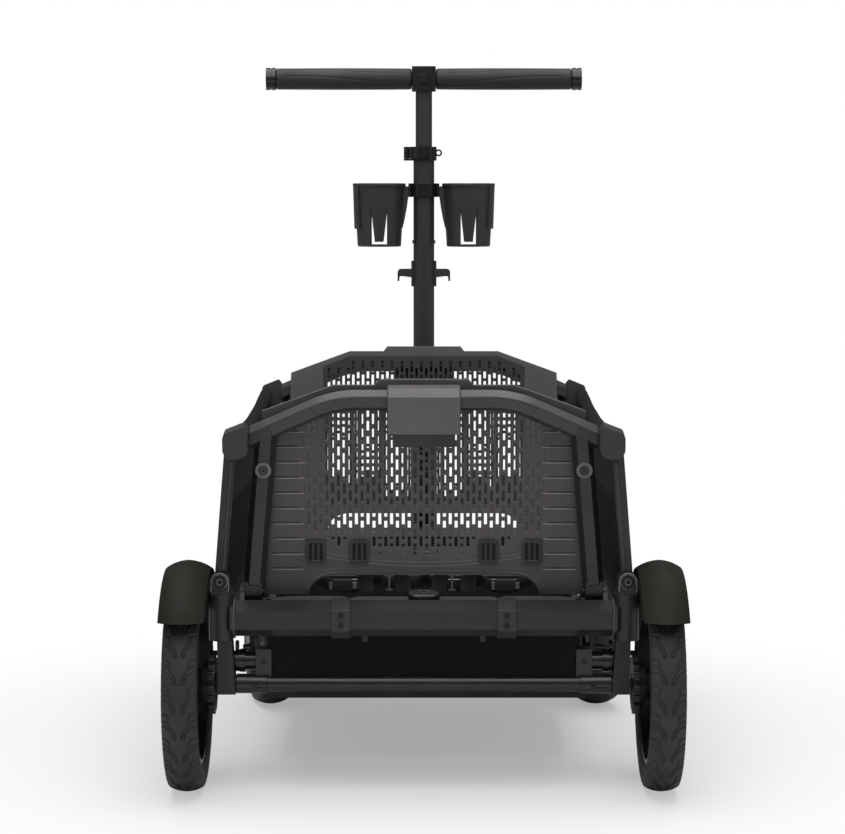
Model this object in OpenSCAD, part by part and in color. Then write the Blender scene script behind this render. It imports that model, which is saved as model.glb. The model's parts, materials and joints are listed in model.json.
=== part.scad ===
// Stroller wagon: a folding tub on a tube frame, with a telescopic pull handle.
// +X is right and +Y is towards the handle end, seen from behind. The ground is z = 0.

/* [Frame] */
// Distance between the rear and front socket centres
frame_len = 770; // [740:1:800]
// Distance of each corner socket from the middle
socket_x = 278.5; // [277:0.5:280]
// Radius of a corner socket
socket_r = 16.5; // [15:0.5:16.5]
// Length of a corner socket
socket_h = 64; // [60:1:66]
// Height of a socket's underside
socket_z = 209; // [206:1:211]
// Side of the hexagonal cross tubes
tube_side = 25; // [22:0.5:26]
// Wall of the frame tubes
tube_wall = 2.5; // [1.5:0.1:4]
// Height of the cross tubes' centre line
tube_z = 238; // [235:1:240]
// Width of a side rail
rail_w = 30; // [24:1:30]
// Height of a side rail
rail_h = 40; // [32:1:40]
// Distance of a side rail's outer face from the middle
rail_out = 265.5; // [264:0.5:266.5]

/* [Rear wheels] */
// Radius of a rear tyre
rear_r = 147; // [144:1:150]
// Width of a rear tyre
tyre_w = 47.5; // [44:0.5:48]
// Distance of a rear wheel's centre plane from the middle
track_x = 324.5; // [323.5:0.25:325]
// Radius of the rim under the tyre
rim_r = 110; // [96:1:114]
// Spokes in each rear rim
spokes = 6; // [5:1:8]
// Lobes on the brake ring
ring_lobes = 16; // [12:1:18]
// Radius of the circle that the lobe centres lie on
ring_r = 37; // [34:0.5:37.5]

/* [Rear axle] */
// Radius of the axle tube
axle_r = 11; // [9:0.5:12]
// Radius of the stub that a wheel turns on
stub_r = 6.35; // [5:0.05:7]
// Depth of a strut, front to back
strut_d = 34; // [30:1:36]
// Radius of a collar
collar_r = 13.5; // [13:0.25:14]

/* [Fenders] */
// Outer radius of a fender about the axle
fender_r = 170; // [166:1:174]
// Width of a fender
fender_w = 61.5; // [60:0.5:65]
// Wall of a fender
fender_wall = 2.5; // [1.5:0.25:2.5]
// Height of a fender's lower edges
fender_low = 251; // [235:1:260]

/* [End walls] */
// Lean of an end wall out from upright
wall_lean = 8.5; // [7:0.25:9]
// Distance of a wall's hinge in from the socket centres
hinge_in = 28; // [27:0.5:30]
// Height of the wall hinges
hinge_z = 270; // [269:0.5:274]
// Distance of an upright's foot from the middle
upright_x = 235; // [233:0.5:236]
// Lean of an upright towards the middle
upright_lean = 5.2; // [4:0.1:6]
// Side of the wall's hexagonal tubes
bar_side = 15; // [13:0.5:15]
// Height of the arch's centre line above the hinge, along the wall
arch_w = 272; // [266:1:276]
// Slope of the arch's ends
arch_slope = 24; // [20:0.5:26]
// Distance of an arch end from the middle
arch_x = 237.5; // [236:0.5:238]
// Thickness of a moulded panel
panel_t = 5; // [3.5:0.5:5]
// Columns of slots in the grille
slot_cols = 40; // [30:2:40]
// Rows of slots in the grille
slot_rows = 10; // [6:1:11]

/* [Corner posts] */
// Distance of the posts out from the end wall
post_out = 32; // [31.5:0.5:34]
// Width of a post
post_w = 15; // [13:0.5:15]
// Depth of a post, front to back
post_d = 18; // [16:0.5:18]
// Lean of a post towards the middle
post_lean = 5.2; // [4.8:0.1:5.6]
// Depth of a corner cap, front to back
cap_d = 30; // [26:0.5:30]

/* [Tub] */
// Distance of the footwell's back wall from the rear sockets
well_y = 215; // [200:1:230]
// Length of the footwell
well_len = 290; // [260:1:300]
// Height of the footwell's underside
well_z = 84; // [78:1:95]
// Height of the seat decks' underside
deck_z = 216; // [212:1:218]
// Height of the top hem of the side fabric
hem_z = 488; // [480:1:492]
// Radius of the top hem
hem_r = 10; // [8:0.5:11]
// Sag of the top hem at its middle
hem_sag = 17; // [8:1:24]

/* [Casters] */
// Radius of a caster wheel
caster_r = 90; // [86:1:91]
// Width of a caster wheel
caster_w = 52; // [44:1:54]
// Distance of the caster swivels from the middle
caster_x = 262; // [258:0.5:264]
// Distance of the caster swivels behind the front sockets
caster_back = 122; // [115:1:125]
// Distance of a caster axle behind its swivel
caster_trail = 50; // [40:1:52]
// Angle that the casters stand turned at rest
caster_turn = 15; // [0:1:30]

/* [Handle] */
// Distance of the pole in front of the front sockets
pole_out = 62; // [61:0.5:66]
// Radius of the outer pole tube
pole_r = 17.5; // [16.5:0.25:18]
// Height of the outer tube's top
pole_top = 889; // [880:1:900]
// Radius of the inner pole tube
inner_r = 13.8; // [12.5:0.1:14]
// Height of the handle's cross bar
bar_z = 1012; // [1005:1:1030]
// Length over the grips and their end caps
bar_len = 528; // [480:1:560]
// Radius of a grip
grip_r = 18; // [16.5:0.25:19]
// Distance of the cup holders from the pole
cup_x = 75; // [74:0.5:80]
// Height of a cup holder's underside
cup_z = 732; // [725:1:745]
// Height of a cup holder
cup_h = 106; // [95:1:110]
// Radius of a cup holder's rim
cup_rim_r = 44.5; // [42:0.25:45]
// Radius of a cup holder's base
cup_base_r = 36.5; // [34:0.25:38]
// Wall of a cup holder
cup_wall = 2.5; // [1.5:0.1:3]

/* [Hidden] */
$fn = 48;
// Overrun of every cut, running clearance of shafts, and clearance of sliding faces
cut = 2;
fit = 0.05;
slip = 0.3;
// Flat-to-centre share of a hexagon
flat_share = cos(30);
third_share = 1 / 3;

// Places along the length: the origin is the middle of the box round the wagon
rear_y = -(frame_len + pole_out + cup_rim_r - rear_r) / 2;
front_y = rear_y + frame_len;
mid_y = (rear_y + front_y) / 2;
caster_y = frame_len - caster_back;
pole_y = front_y + pole_out;
tube_flat = tube_side * flat_share;
bar_flat = bar_side * flat_share;
rail_in = rail_out - rail_w;
rail_top = tube_z + rail_h / 2;

// Sockets, welds, hinge lugs and bosses of a cross tube
socket_off = 5;
flange_lip = 1.5;
socket_half = socket_r + socket_off;
flange_h = 4;
weld_w = 3;
weld_h = 1.6;
plug_r = 8;
plug_h = 40;
lug_t = 6;
lug_r = 9;
hinge_pin_r = 4;
boss_r = 4;
boss_h = 8;
boss_x_shares = [0.29, 0.81];

// Struts, stub axles, collars and brakes
strut_top_w = 20;
strut_foot_w = 24;
strut_edge = 4.5;
strut_lean = 1;
strut_foot = 12.5;
hub_r = 22;
hub_short = 1;
hub_w = tyre_w - hub_short;
stub_short = 6;
stub_end = track_x + hub_w / 2 - stub_short;
collar_in = 214.5;
block_step = 5;
collar_gap = 0.4;
block_w = 22;
block_d = 28;
block_top = 48;
pedal_y = 12;
pedal_z = 30;
pedal_pin_r = 4;
drum_r = 13;
drum_w = 14;
drum_groove = 2;
plate_r = 16;
plate_w = 8;
pawl_y = 24;
pawl_z = 6;
pawl_r = 3.5;
pawl_boss_r = 6;
pawl_reach = 297;

// Rear wheel details
tyre_crown_r = 44;
rim_wall = 6;
rim_w = 40;
spoke_w = 14;
spoke_t = 12;
ring_w = 9;
ring_lobe_r = 5.5;
lobe_inset = 0.6;
ring_gap = 6.3;
ring_drum_r = 30;
ring_bore_r = 14;
hub_cap_h = 5;
hub_cap_r = 19;

// Fender details: dome, lip, and the stay that carries it
dome_r = 60;
side_r = 52;
dome_shift = 4;
lip_drop = 32;
fender_sweep = 140;
fender_shift = 1.75;
stay_y = 34;
stay_w = 20;
stay_h = 24;

// Strap brackets and screws on the rear cross tube
strap_x = 113.5;
strap_w = 26;
strap_t = 3;
screw_r = 3.6;
screw_h = 2.4;
screw_z = 7;
screw_key_r = 1.6;

// Knuckles at the feet of the posts
knuckle_rise = 18;
knuckle_w = 26;
knuckle_gap = 16;
cheek_t = 6;
knuckle_foot = 5;
tang_r = 12;
tang_up = 26;
post_start = 16;
bolt_r = 4;
bolt_head_r = 9.5;
bolt_head_h = 4;
bolt_pocket = 2;
bolt_key_r = 3.4;

// Corner posts and caps
groove_w = 3;
groove_d = 6;
groove_x = 2;
cap_in = 237.5;
cap_out = 271.5;
cap_low = 463;
cap_high = 511;
cap_round = 14;
cap_pocket = 12;
cap_top_slope = 22;
cap_foot_slope = 21;

// Wall details
eye_w = 24;
pin_head_r = 7;
pin_head_h = 3;
bar_wall = 2;
bend_x = 106;
bend_r = 70;
seam_x = 208.5;
wall_bolt_w = 177;
washer_r = 11;
washer_h = 1.6;
wall_bolt_r = 6;
wall_bolt_h = 3;
wall_key_r = 3;

// Panel outline, as distances from the middle and along the wall
panel_low = -8;
panel_foot_x = 229;
panel_side_x = 221;
panel_drop = 36;
panel_top_x = 123.5;
panel_rise = 18;
panel_top_w = arch_w + panel_rise;
panel_side_w = panel_top_w - panel_drop;
bump_x = 61;
bump_rise = 8;
bump_w = panel_top_w + bump_rise;
bump_run = 6;
arch_cut_x = 160;
arch_cut_top_x = 124;
arch_cut_w = 20;
arch_steps = 10;
panel_groove_d = 1.6;
panel_groove_w = 2;
panel_groove_in = 172;
panel_groove_out = 211;
panel_groove_low = 29;

// Grille outline and slots
grille_x = 168;
grille_foot_x = 160;
grille_low = 35;
grille_drop = 4;
grille_top_w = panel_top_w - grille_drop;
grille_inset = 1;
slot_pitch = 8.1;
slot_rise = 21.8;
slot_w = 4.2;
slot_len = 17;
slot_first = 57;
slot_floor = 45;
slot_bow = 26;
guide_x_shares = [0.53, 0.89];
guide_w = 55;
guide_size = [27, 32];
guide_t = 4;
guide_rim = 4;
guide_bar = 3;
guide_bars = 2;
guide_gap = (guide_size[0] - 2 * guide_rim - guide_bars * guide_bar) / (guide_bars + 1);

// Latch cover and release lever, in the wall's own plane
cover_x = 49.5;
cover_low = 43;
cover_rise = 19;
cover_front = 23;
cover_chamfer = 10;
cover_back = 5;
lever_x = 42.5;
lever_low = 61;
lever_top = 28;
lever_t = 11;
lever_in = 8.5;
lever_travel = 6;
lever_lip = 3;

// Tub details
well_wall = 4;
pan_h = 11;
pan_lip = 5;
deck_t = 6;
pad_h = 18;
pad_gap = 3;
pad_crown = 5;
pad_pinch = 6;
pad_channel = 2.5;
pad_steps = 16;
fabric_t = 3.5;
fabric_gap = 0.5;
hem_gap = 3.5;
web_w = 25;
web_t = 2;
web_len = 150;
web_turn = 32;
buckle_size = [46, 58, 12];
buckle_slot = [20, 6];
buckle_y_share = 0.62;

// Caster details
housing_r = 20;
plate_h = 5;
plate_size = [48, 60];
stem_r = 8;
crown_h = 6;
crown_gap = 0.5;
crown_drop = 27;
leg_t = 5;
leg_gap = 3;
leg_w = 24;
axle_bolt_r = 5;
axle_head_r = 9;
axle_head_h = 3;
caster_rim_r = 58;
caster_hub_r = 17;
caster_web = 12;
caster_tread_r = 48;

// Pole, yoke and clamp
yoke_x = 22;
yoke_t = 6;
yoke_r = 16;
yoke_plate_h = 24;
pole_pin_r = 5;
foot_eye_r = 15;
foot_r = 21;
foot_h = 62;
foot_bore = 24;
pole_wall = 1.8;
slider_h = 25;
inner_low = 600;
rivet_r = 3;
rivet_h = 2;
rivet_z = 740;
collar_wall = 4;
collar_low = 13;
collar_high = 10;
ear_x = 28;
ear_r = 6;
ear_t = 3.2;
trunnion_r = 2.5;
lever_arc_r = 22.5;
lever_arc_t = 4;
lever_arc = 112;
strap_eye_r = 6;
strap_eye_bore = 3.2;
strap_eye_t = 4;

// Cup holders and their clamp
clamp_h = 23;
clamp_wall = 6;
clamp_pad = 26;
clamp_pad_w = 16;
gusset_t = 7;
gusset_h = 76;
cup_floor = 3;
cup_lip = 2;
cup_lip_h = 5;
window_w = 34;
window_low = 22;
window_h = 62;
tongue_w = 22;
tongue_top_w = 14;
tongue_h = 50;
cup_panel_t = 1.6;
cup_panel_share = 0.7;

// Hook bracket
hook_z = 665;
hook_h = 43;
hook_wall = 5;
hook_reach = 22;
hook_r = 4;
hook_lip = 12;
hook_lip_t = 4;

// Handle head
tee_w = 40;
tee_h = 41;
tee_round = 6;
tee_sink = 12;
core_r = 12;
cap_len = 16;
cap_extra = 0.6;
cap_groove = 1;
cap_groove_w = 3;
button_w = 15;
button_proud = 2;
button_in = 8;
button_travel = 3;

// Colours of the photographed finishes
anodised = [0.24, 0.23, 0.22];
moulded = [0.29, 0.27, 0.27];
black = [0.13, 0.13, 0.12];
rubber = [0.16, 0.15, 0.15];
cloth = [0.1, 0.1, 0.1];
steel = [0.42, 0.42, 0.43];

// Where a post's centre line lies at a height, measured from the socket centres
function post_y(z) = hinge_in - post_out / cos(wall_lean) - (z - hinge_z) * tan(wall_lean);
function wall_top_w(x) = panel_top_w - max(0, x - panel_top_x)
    * (panel_top_w - panel_side_w) / (panel_side_x - panel_top_x);

// Both sides, and the front as the mirror of the rear
module mirror_x() {
    children();
    mirror([1, 0, 0]) children();
}

module at_end(front) {
    if (front) translate([0, 2 * mid_y, 0]) mirror([0, 1, 0]) children();
    else children();
}

// Origin at the rear sockets' line
module from_rear() translate([0, rear_y, 0]) children();

// The end wall's own plane: z runs up the wall from its hinge
module in_wall() translate([0, rear_y + hinge_in, hinge_z]) rotate([wall_lean, 0, 0]) children();

// A hexagonal bar along X with a corner on top
module hex_bar(side, len) rotate([0, 90, 0]) cylinder(r = side, h = len, center = true, $fn = 6);

module rod_x(r, x0, x1) translate([x0, 0, 0]) rotate([0, 90, 0]) cylinder(r = r, h = x1 - x0);

module rod_y(r, y0, y1) translate([0, y0, 0]) rotate([-90, 0, 0]) cylinder(r = r, h = y1 - y0);

module ring(r, bore, h) difference() {
    cylinder(r = r, h = h);
    translate([0, 0, -cut]) cylinder(r = bore, h = h + 2 * cut);
}

// A flat rectangle with round corners, from its low corner
module round_rect(w, h, r) {
    translate([r, 0]) square([w - 2 * r, h]);
    translate([0, r]) square([w, h - 2 * r]);
    for (x = [r, w - r], y = [r, h - r]) translate([x, y]) circle(r);
}

// A box with round upright edges, centred in X and Y
module round_box(size, r) linear_extrude(size[2])
    translate([-size[0] / 2, -size[1] / 2]) round_rect(size[0], size[1], r);

strut_mid = socket_x + strut_edge - strut_top_w / 2;

// Cross tubes, sockets and hinge lugs
module socket(r, h) {
    for (y = [-socket_off, socket_off]) translate([0, y, 0]) cylinder(r = r, h = h);
    translate([-r, -socket_off, 0]) cube([2 * r, 2 * socket_off, h]);
}

module crossmember() from_rear() difference() {
    union() {
        translate([0, 0, tube_z]) hex_bar(tube_side, 2 * (socket_x - socket_r + weld_w));
        mirror_x() {
            translate([socket_x, 0, socket_z]) {
                socket(socket_r, socket_h);
                translate([0, 0, socket_h - flange_h]) socket(socket_r + flange_lip, flange_h);
            }
            translate([socket_x - socket_r, 0, tube_z]) hex_bar(tube_side + weld_h, 2 * weld_w);
            hinge_lug();
            for (share = boss_x_shares)
                translate([share * socket_x, 0, tube_z - tube_side - boss_h])
                    cylinder(r = boss_r, h = boss_h + tube_wall);
        }
    }
    translate([0, 0, tube_z])
        hex_bar(tube_side - tube_wall / flat_share, 2 * (socket_x - socket_r));
    mirror_x() {
        translate([strut_mid, 0, socket_z - cut]) cylinder(r = plug_r + fit, h = plug_h + cut);
        translate([0, hinge_in, hinge_z])
            rod_x(hinge_pin_r + fit, upright_x, upright_x + eye_w + lug_t);
    }
}

module hinge_lug() translate([upright_x + eye_w / 2 + slip, 0, 0]) {
    translate([0, hinge_in, hinge_z]) rod_x(lug_r, 0, lug_t);
    rotate([90, 0, 90]) linear_extrude(lug_t) polygon([
        [hinge_in - lug_r, hinge_z],
        [tube_flat * third_share, tube_z + tube_side - tube_side / 6 - tube_wall],
        [tube_flat - tube_wall, tube_z + tube_side / 2 - tube_wall],
        [tube_flat - slip, tube_z + tube_side / 2],
        [tube_flat - slip, rail_top + slip],
        [hinge_in + lug_r, hinge_z]
    ]);
}

module crossmembers() color(anodised) {
    crossmember();
    at_end(true) crossmember();
}

module side_rails() color(anodised) mirror_x() difference() {
    translate([rail_in, rear_y + tube_flat, tube_z - rail_h / 2])
        cube([rail_w, frame_len - 2 * tube_flat, rail_h]);
    translate([rail_in + tube_wall, rear_y, tube_z - rail_h / 2 + tube_wall])
        cube([rail_w - 2 * tube_wall, frame_len, rail_h - 2 * tube_wall]);
    for (y = [rear_y, front_y]) translate([socket_x - socket_r, y, tube_z])
        hex_bar(tube_side + weld_h + fit, 2 * (weld_w + slip));
}

// Struts, axle tube and stub axles, welded together
module rear_axle() color(anodised) from_rear() {
    translate([0, 0, rear_r]) rod_x(axle_r, -socket_x, socket_x);
    mirror_x() {
        translate([0, 0, rear_r]) rod_x(stub_r, socket_x, stub_end);
        translate([0, strut_d / 2, 0]) rotate([90, 0, 0]) linear_extrude(strut_d) polygon([
            [socket_x + strut_edge - strut_top_w, socket_z],
            [socket_x + strut_edge, socket_z],
            [socket_x + strut_edge - strut_lean, rear_r - strut_foot],
            [socket_x + strut_edge - strut_lean - strut_foot_w, rear_r - strut_foot]
        ]);
        translate([strut_mid, 0, socket_z - cut]) cylinder(r = plug_r, h = plug_h + cut - slip);
    }
}

strut_in = socket_x + strut_edge - strut_lean - strut_foot_w;
block_x = collar_in - block_step;

// Collars on the axle, each with the block that its brake pedal turns in
module brake_carriers() color(black) from_rear() mirror_x() translate([0, 0, rear_r])
    difference() {
        union() {
            rod_x(collar_r, collar_in, strut_in - collar_gap);
            translate([block_x, pedal_y - block_d / 2, 0]) cube([block_w, block_d, block_top]);
        }
        rod_x(axle_r + fit, block_x - cut, strut_in + cut);
        translate([0, pedal_y, pedal_z])
            rod_x(pedal_pin_r + fit, block_x - cut, strut_in);
        translate([collar_in + block_w - pawl_r, 0, 0])
            rod_y(rivet_r + fit, -collar_r - cut, -axle_r + cut);
    }

module brake_pedal() from_rear() translate([0, pedal_y, rear_r + pedal_z]) {
    drum_x = block_x + block_w + slip;
    rod_x(pedal_pin_r, block_x, drum_x + drum_w);
    difference() {
        rod_x(drum_r, drum_x, drum_x + drum_w);
        for (i = [1, 2]) translate([drum_x + i * drum_w * third_share, 0, 0]) rotate([0, 90, 0])
            translate([0, 0, -drum_groove / 2]) ring(drum_r + cut, drum_r - drum_groove, drum_groove);
    }
    rod_x(plate_r, drum_x + drum_w, drum_x + drum_w + plate_w);
    translate([0, pawl_y, pawl_z]) {
        rod_x(pawl_boss_r, drum_x + drum_w, drum_x + drum_w + plate_w);
        rod_x(pawl_r, drum_x + drum_w, pawl_reach);
    }
    translate([drum_x + drum_w, 0, pawl_z - pawl_boss_r]) cube([plate_w, pawl_y, 2 * pawl_boss_r]);
}

module left_brake_pedal() color(black) mirror([1, 0, 0]) brake_pedal();

module right_brake_pedal() color(black) brake_pedal();

// Half shells round the rear cross tube
module tube_brackets() color(black) from_rear() mirror_x() translate([strap_x, 0, tube_z])
    difference() {
        hex_bar(tube_side + strap_t / flat_share, strap_w);
        hex_bar(tube_side, strap_w + 2 * cut);
        translate([-strap_w, 0, -2 * tube_side]) cube([2 * strap_w, 2 * tube_side, 4 * tube_side]);
    }

// Clevis lugs on the sockets
knuckle_z = socket_z + socket_h + knuckle_rise;
knuckle_y = post_y(knuckle_z);
knuckle_half = knuckle_gap / 2 + cheek_t;

module knuckle() from_rear() translate([socket_x, knuckle_y, knuckle_z]) difference() {
    union() {
        translate([-knuckle_w / 2, -knuckle_half, -knuckle_rise])
            cube([knuckle_w, 2 * knuckle_half, knuckle_foot]);
        for (y = [-knuckle_half, knuckle_gap / 2]) {
            rod_y_at(y);
            translate([-knuckle_w / 2, y, -knuckle_rise])
                cube([knuckle_w, cheek_t, knuckle_rise]);
        }
    }
    rod_y(bolt_r + fit, -knuckle_half - cut, knuckle_half + cut);
    rod_y(bolt_head_r + slip, -knuckle_half - cut, -knuckle_half + bolt_pocket);
}

module rod_y_at(y) rod_y(knuckle_w / 2, y, y + cheek_t);

module knuckles() color(black) for (front = [false, true]) at_end(front) mirror_x() knuckle();

// Fasteners that stay on the frame
module knuckle_bolt() from_rear() translate([socket_x, knuckle_y, knuckle_z]) difference() {
    union() {
        rod_y(bolt_r, -knuckle_half, knuckle_half);
        rod_y(bolt_head_r, bolt_pocket - knuckle_half - bolt_head_h, bolt_pocket - knuckle_half);
    }
    translate([0, bolt_pocket - knuckle_half - bolt_head_h, 0]) rotate([90, 0, 0])
        cylinder(r = bolt_key_r, h = bolt_head_h, center = true, $fn = 6);
}

module strap_screw() difference() {
    rod_y(screw_r, -screw_h, 0);
    translate([0, -screw_h, 0]) rotate([90, 0, 0])
        cylinder(r = screw_key_r, h = screw_h, center = true, $fn = 6);
}

module frame_bolts() color(steel) {
    for (front = [false, true]) at_end(front) mirror_x() knuckle_bolt();
    from_rear() mirror_x() {
        for (z = [-screw_z, screw_z]) translate([strap_x, -tube_flat - strap_t, tube_z + z])
            strap_screw();
        translate([block_x + block_w / 2, pedal_y - block_d / 2, rear_r + pedal_z])
            strap_screw();
        translate([collar_in + block_w - pawl_r, 0, rear_r])
            rod_y(rivet_r, -collar_r - rivet_h / 2, -axle_r - fit);
    }
}

// Pins that the end walls and the handle turn on
module hinge_pin() from_rear() translate([upright_x, hinge_in, hinge_z]) {
    rod_x(hinge_pin_r, -eye_w / 2 - slip, eye_w / 2 + slip + lug_t);
    rod_x(pin_head_r, -eye_w / 2 - slip - pin_head_h, -eye_w / 2 - slip);
}

module pivot_pins() color(steel) {
    for (front = [false, true]) at_end(front) mirror_x() hinge_pin();
    translate([0, pole_y, tube_z]) {
        rod_x(pole_pin_r, -yoke_x - yoke_t, yoke_x + yoke_t);
        mirror_x() rod_x(pin_head_r, yoke_x + yoke_t, yoke_x + yoke_t + pin_head_h);
    }
}

// Footwell: a tray under a four-sided skirt
module footwell_pan() color(black) translate([-rail_in, rear_y + well_y, well_z]) difference() {
    cube([2 * rail_in, well_len, pan_h]);
    translate([pan_lip, pan_lip, pan_lip])
        cube([2 * (rail_in - pan_lip), well_len - 2 * pan_lip, pan_h]);
}

module footwell_skirt() color(cloth) translate([0, rear_y + well_y, well_z + pan_h]) {
    skirt_h = deck_z - well_z - pan_h;
    for (y = [0, well_len - well_wall]) translate([-rail_in + well_wall, y, 0])
        cube([2 * (rail_in - well_wall), well_wall, skirt_h]);
    mirror_x() translate([rail_in - well_wall, 0, 0]) cube([well_wall, well_len, skirt_h + deck_t]);
}

module seat_deck() translate([-rail_in, rear_y + tube_flat, deck_z])
    cube([2 * rail_in, well_y + well_wall - tube_flat, deck_t]);

front_deck_len = frame_len - well_y - well_len + well_wall - tube_flat;

module seat_decks() color(black) difference() {
    union() {
        seat_deck();
        translate([-rail_in, front_y - tube_flat - front_deck_len, deck_z])
            cube([2 * rail_in, front_deck_len, deck_t]);
    }
    mirror_x() translate([rail_in - well_wall, rear_y + well_y, deck_z - cut])
        cube([well_wall + cut, well_len, deck_t + 2 * cut]);
}

// A pad: crowned top with one cross channel, sides drawn in between its corners
function swell(t) = sin(180 * t);
function pad_point(size, i, j, top) = let (
    u = i / pad_steps,
    v = j / pad_steps,
    pull_x = pad_pinch * swell(v) * (2 * u - 1),
    pull_y = pad_pinch * swell(u) * (2 * v - 1),
    seam = pad_channel * max(0, 1 - abs(v - 0.5) * pad_steps / 2),
    crown = (pad_crown * sqrt(swell(u) * swell(v)) - seam * sqrt(swell(u)))
) [
    (u - 0.5) * size[0] - pull_x,
    (v - 0.5) * size[1] - pull_y,
    top ? size[2] - pad_crown + crown : 0
];

module pad(size) {
    n = pad_steps + 1;
    grid = [for (top = [false, true], i = [0 : pad_steps], j = [0 : pad_steps])
        pad_point(size, i, j, top)];
    cells = [for (i = [0 : pad_steps - 1], j = [0 : pad_steps - 1]) i * n + j];
    low = [for (c = cells, f = [[c, c + 1, c + n + 1], [c, c + n + 1, c + n]]) f];
    high = [for (f = low) [f[2] + n * n, f[1] + n * n, f[0] + n * n]];
    edge = concat([for (j = [0 : pad_steps - 1]) j],
        [for (i = [0 : pad_steps - 1]) i * n + pad_steps],
        [for (j = [pad_steps : -1 : 1]) pad_steps * n + j],
        [for (i = [pad_steps : -1 : 1]) i * n]);
    sides = [for (k = [0 : len(edge) - 1]) let (
        a = edge[k],
        b = edge[(k + 1) % len(edge)]
    ) for (f = [[a, a + n * n, b], [b, a + n * n, b + n * n]]) f];
    polyhedron(points = grid, faces = concat(low, high, sides), convexity = 4);
}

rear_pad_len = well_y - tube_flat - 2 * pad_gap;
front_pad_len = front_deck_len - well_wall - 2 * pad_gap;
pad_top = deck_z + deck_t + pad_h;
rear_pad_y = rear_y + tube_flat + pad_gap + rear_pad_len / 2;
front_pad_y = front_y - tube_flat - pad_gap - front_pad_len / 2;

module seat_pads() color(cloth) {
    translate([0, rear_pad_y, deck_z + deck_t])
        pad([2 * (rail_in - pad_gap), rear_pad_len, pad_h]);
    translate([0, front_pad_y, deck_z + deck_t])
        pad([2 * (rail_in - pad_gap), front_pad_len, pad_h]);
}

// Lap webbing and the buckle of one seat, laid on its pad
module seat_harness(len) {
    buckle_y = (buckle_y_share - 0.5) * len;
    mirror_x() translate([buckle_size[0] / 2, buckle_y - web_w / 2, 0]) rotate([0, 0, -web_turn])
        translate([slip, web_t, 0]) cube([web_len, web_w, web_t]);
    translate([-web_w / 2, buckle_y + buckle_size[1] / 2 + slip, 0])
        cube([web_w, len / 2 - buckle_y - buckle_size[1] / 2 - pad_gap, web_t]);
    translate([0, buckle_y, 0]) difference() {
        round_box(buckle_size, web_t * 3);
        translate([-buckle_slot[0] / 2, buckle_slot[1], buckle_size[2] - web_t])
            cube([buckle_slot[0], buckle_slot[1], web_t + cut]);
    }
}

module harness() color(cloth) {
    translate([0, rear_pad_y, pad_top + slip]) seat_harness(rear_pad_len);
    translate([0, front_pad_y, pad_top + slip]) mirror([0, 1, 0]) seat_harness(front_pad_len);
}

// Fabric side: a flat sheet between the posts, with a sagging padded hem on top
function fabric_y(z) = post_y(z) + post_d / 2 / cos(wall_lean) + 5 * fabric_gap;

hem_half = mid_y - rear_y - post_y(hem_z) - cap_d / 2 / cos(wall_lean) - hem_gap;
hem_bow_r = (hem_half * hem_half + hem_sag * hem_sag) / (2 * hem_sag);
fabric_low_y = socket_half + flange_lip + fabric_gap;
fabric_step_y = knuckle_y + knuckle_half + fabric_gap;
fabric_step_z = socket_z + socket_h + fabric_gap;
fabric_post_z = knuckle_z + knuckle_w / 2 + fabric_gap;

module side_sheet() rotate([90, 0, 90]) linear_extrude(fabric_t) difference() {
    for (m = [0, 1]) translate([mid_y, 0]) mirror([m, 0]) translate([-mid_y, 0])
        translate([rear_y, 0]) polygon([
            [frame_len / 2 + fit, rail_top],
            [fabric_low_y, rail_top],
            [fabric_low_y, fabric_step_z],
            [fabric_step_y, fabric_step_z],
            [fabric_step_y, fabric_post_z],
            [fabric_y(fabric_post_z), fabric_post_z],
            [fabric_y(cap_low - fabric_gap), cap_low - fabric_gap],
            [hem_start, cap_low - fabric_gap],
            [hem_start, hem_z],
            [frame_len / 2 + fit, hem_z]
        ]);
    translate([mid_y, hem_z - hem_sag + hem_bow_r]) circle(r = hem_bow_r, $fn = 180);
}

hem_start = post_y(hem_z) + cap_d / 2 / cos(wall_lean) + hem_gap;
hem_angle = 2 * asin(hem_half / hem_bow_r);

module side_fabrics() color(cloth) mirror_x() {
    translate([rail_out - fabric_t, 0, 0]) side_sheet();
    translate([rail_out - fabric_t / 2, mid_y, hem_z - hem_sag + hem_bow_r]) rotate([90, 0, 90])
        rotate([0, 0, 270 - hem_angle / 2]) rotate_extrude(angle = hem_angle, $fn = 180)
            translate([hem_bow_r, 0]) circle(hem_r);
}

// Fender: a domed shell about the axle, on a stay from the side rail
module fender_outline(inset) intersection() {
    translate([fender_r - lip_drop, -fender_w / 2 + inset])
        square([lip_drop + cut, fender_w - 2 * inset]);
    translate([fender_r - dome_r, dome_shift]) circle(dome_r - inset);
    translate([fender_r - side_r + inset / 2, 0]) circle(side_r - inset / 2);
}

fender_x = track_x - fender_shift;
fender_in = fender_x - fender_w / 2;

module fender() from_rear() {
    difference() {
        translate([fender_x, 0, rear_r]) rotate([0, 90, 0]) rotate([0, 0, 180 - fender_sweep / 2])
            rotate_extrude(angle = fender_sweep) difference() {
                fender_outline(0);
                translate([-cut, 0]) fender_outline(fender_wall);
            }
        translate([fender_x - fender_w, -2 * fender_r, 0]) cube([2 * fender_w, 4 * fender_r, fender_low]);
    }
    translate([rail_out, stay_y, tube_z - stay_h / 2]) {
        cube([fender_wall, stay_w, stay_h]);
        cube([fender_in - rail_out + fender_wall - slip, stay_w, fender_wall]);
    }
    translate([fender_in + slip, stay_y, tube_z - stay_h / 2])
        cube([fender_wall - 2 * slip, stay_w, rear_r + fender_r - lip_drop - tube_z + stay_h / 2]);
}

module fenders() color(moulded) mirror_x() fender();

// Rear wheels, drawn about the axle with local z outboard
module wheel_place() from_rear() translate([track_x, 0, rear_r]) rotate([0, 90, 0]) children();

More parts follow.
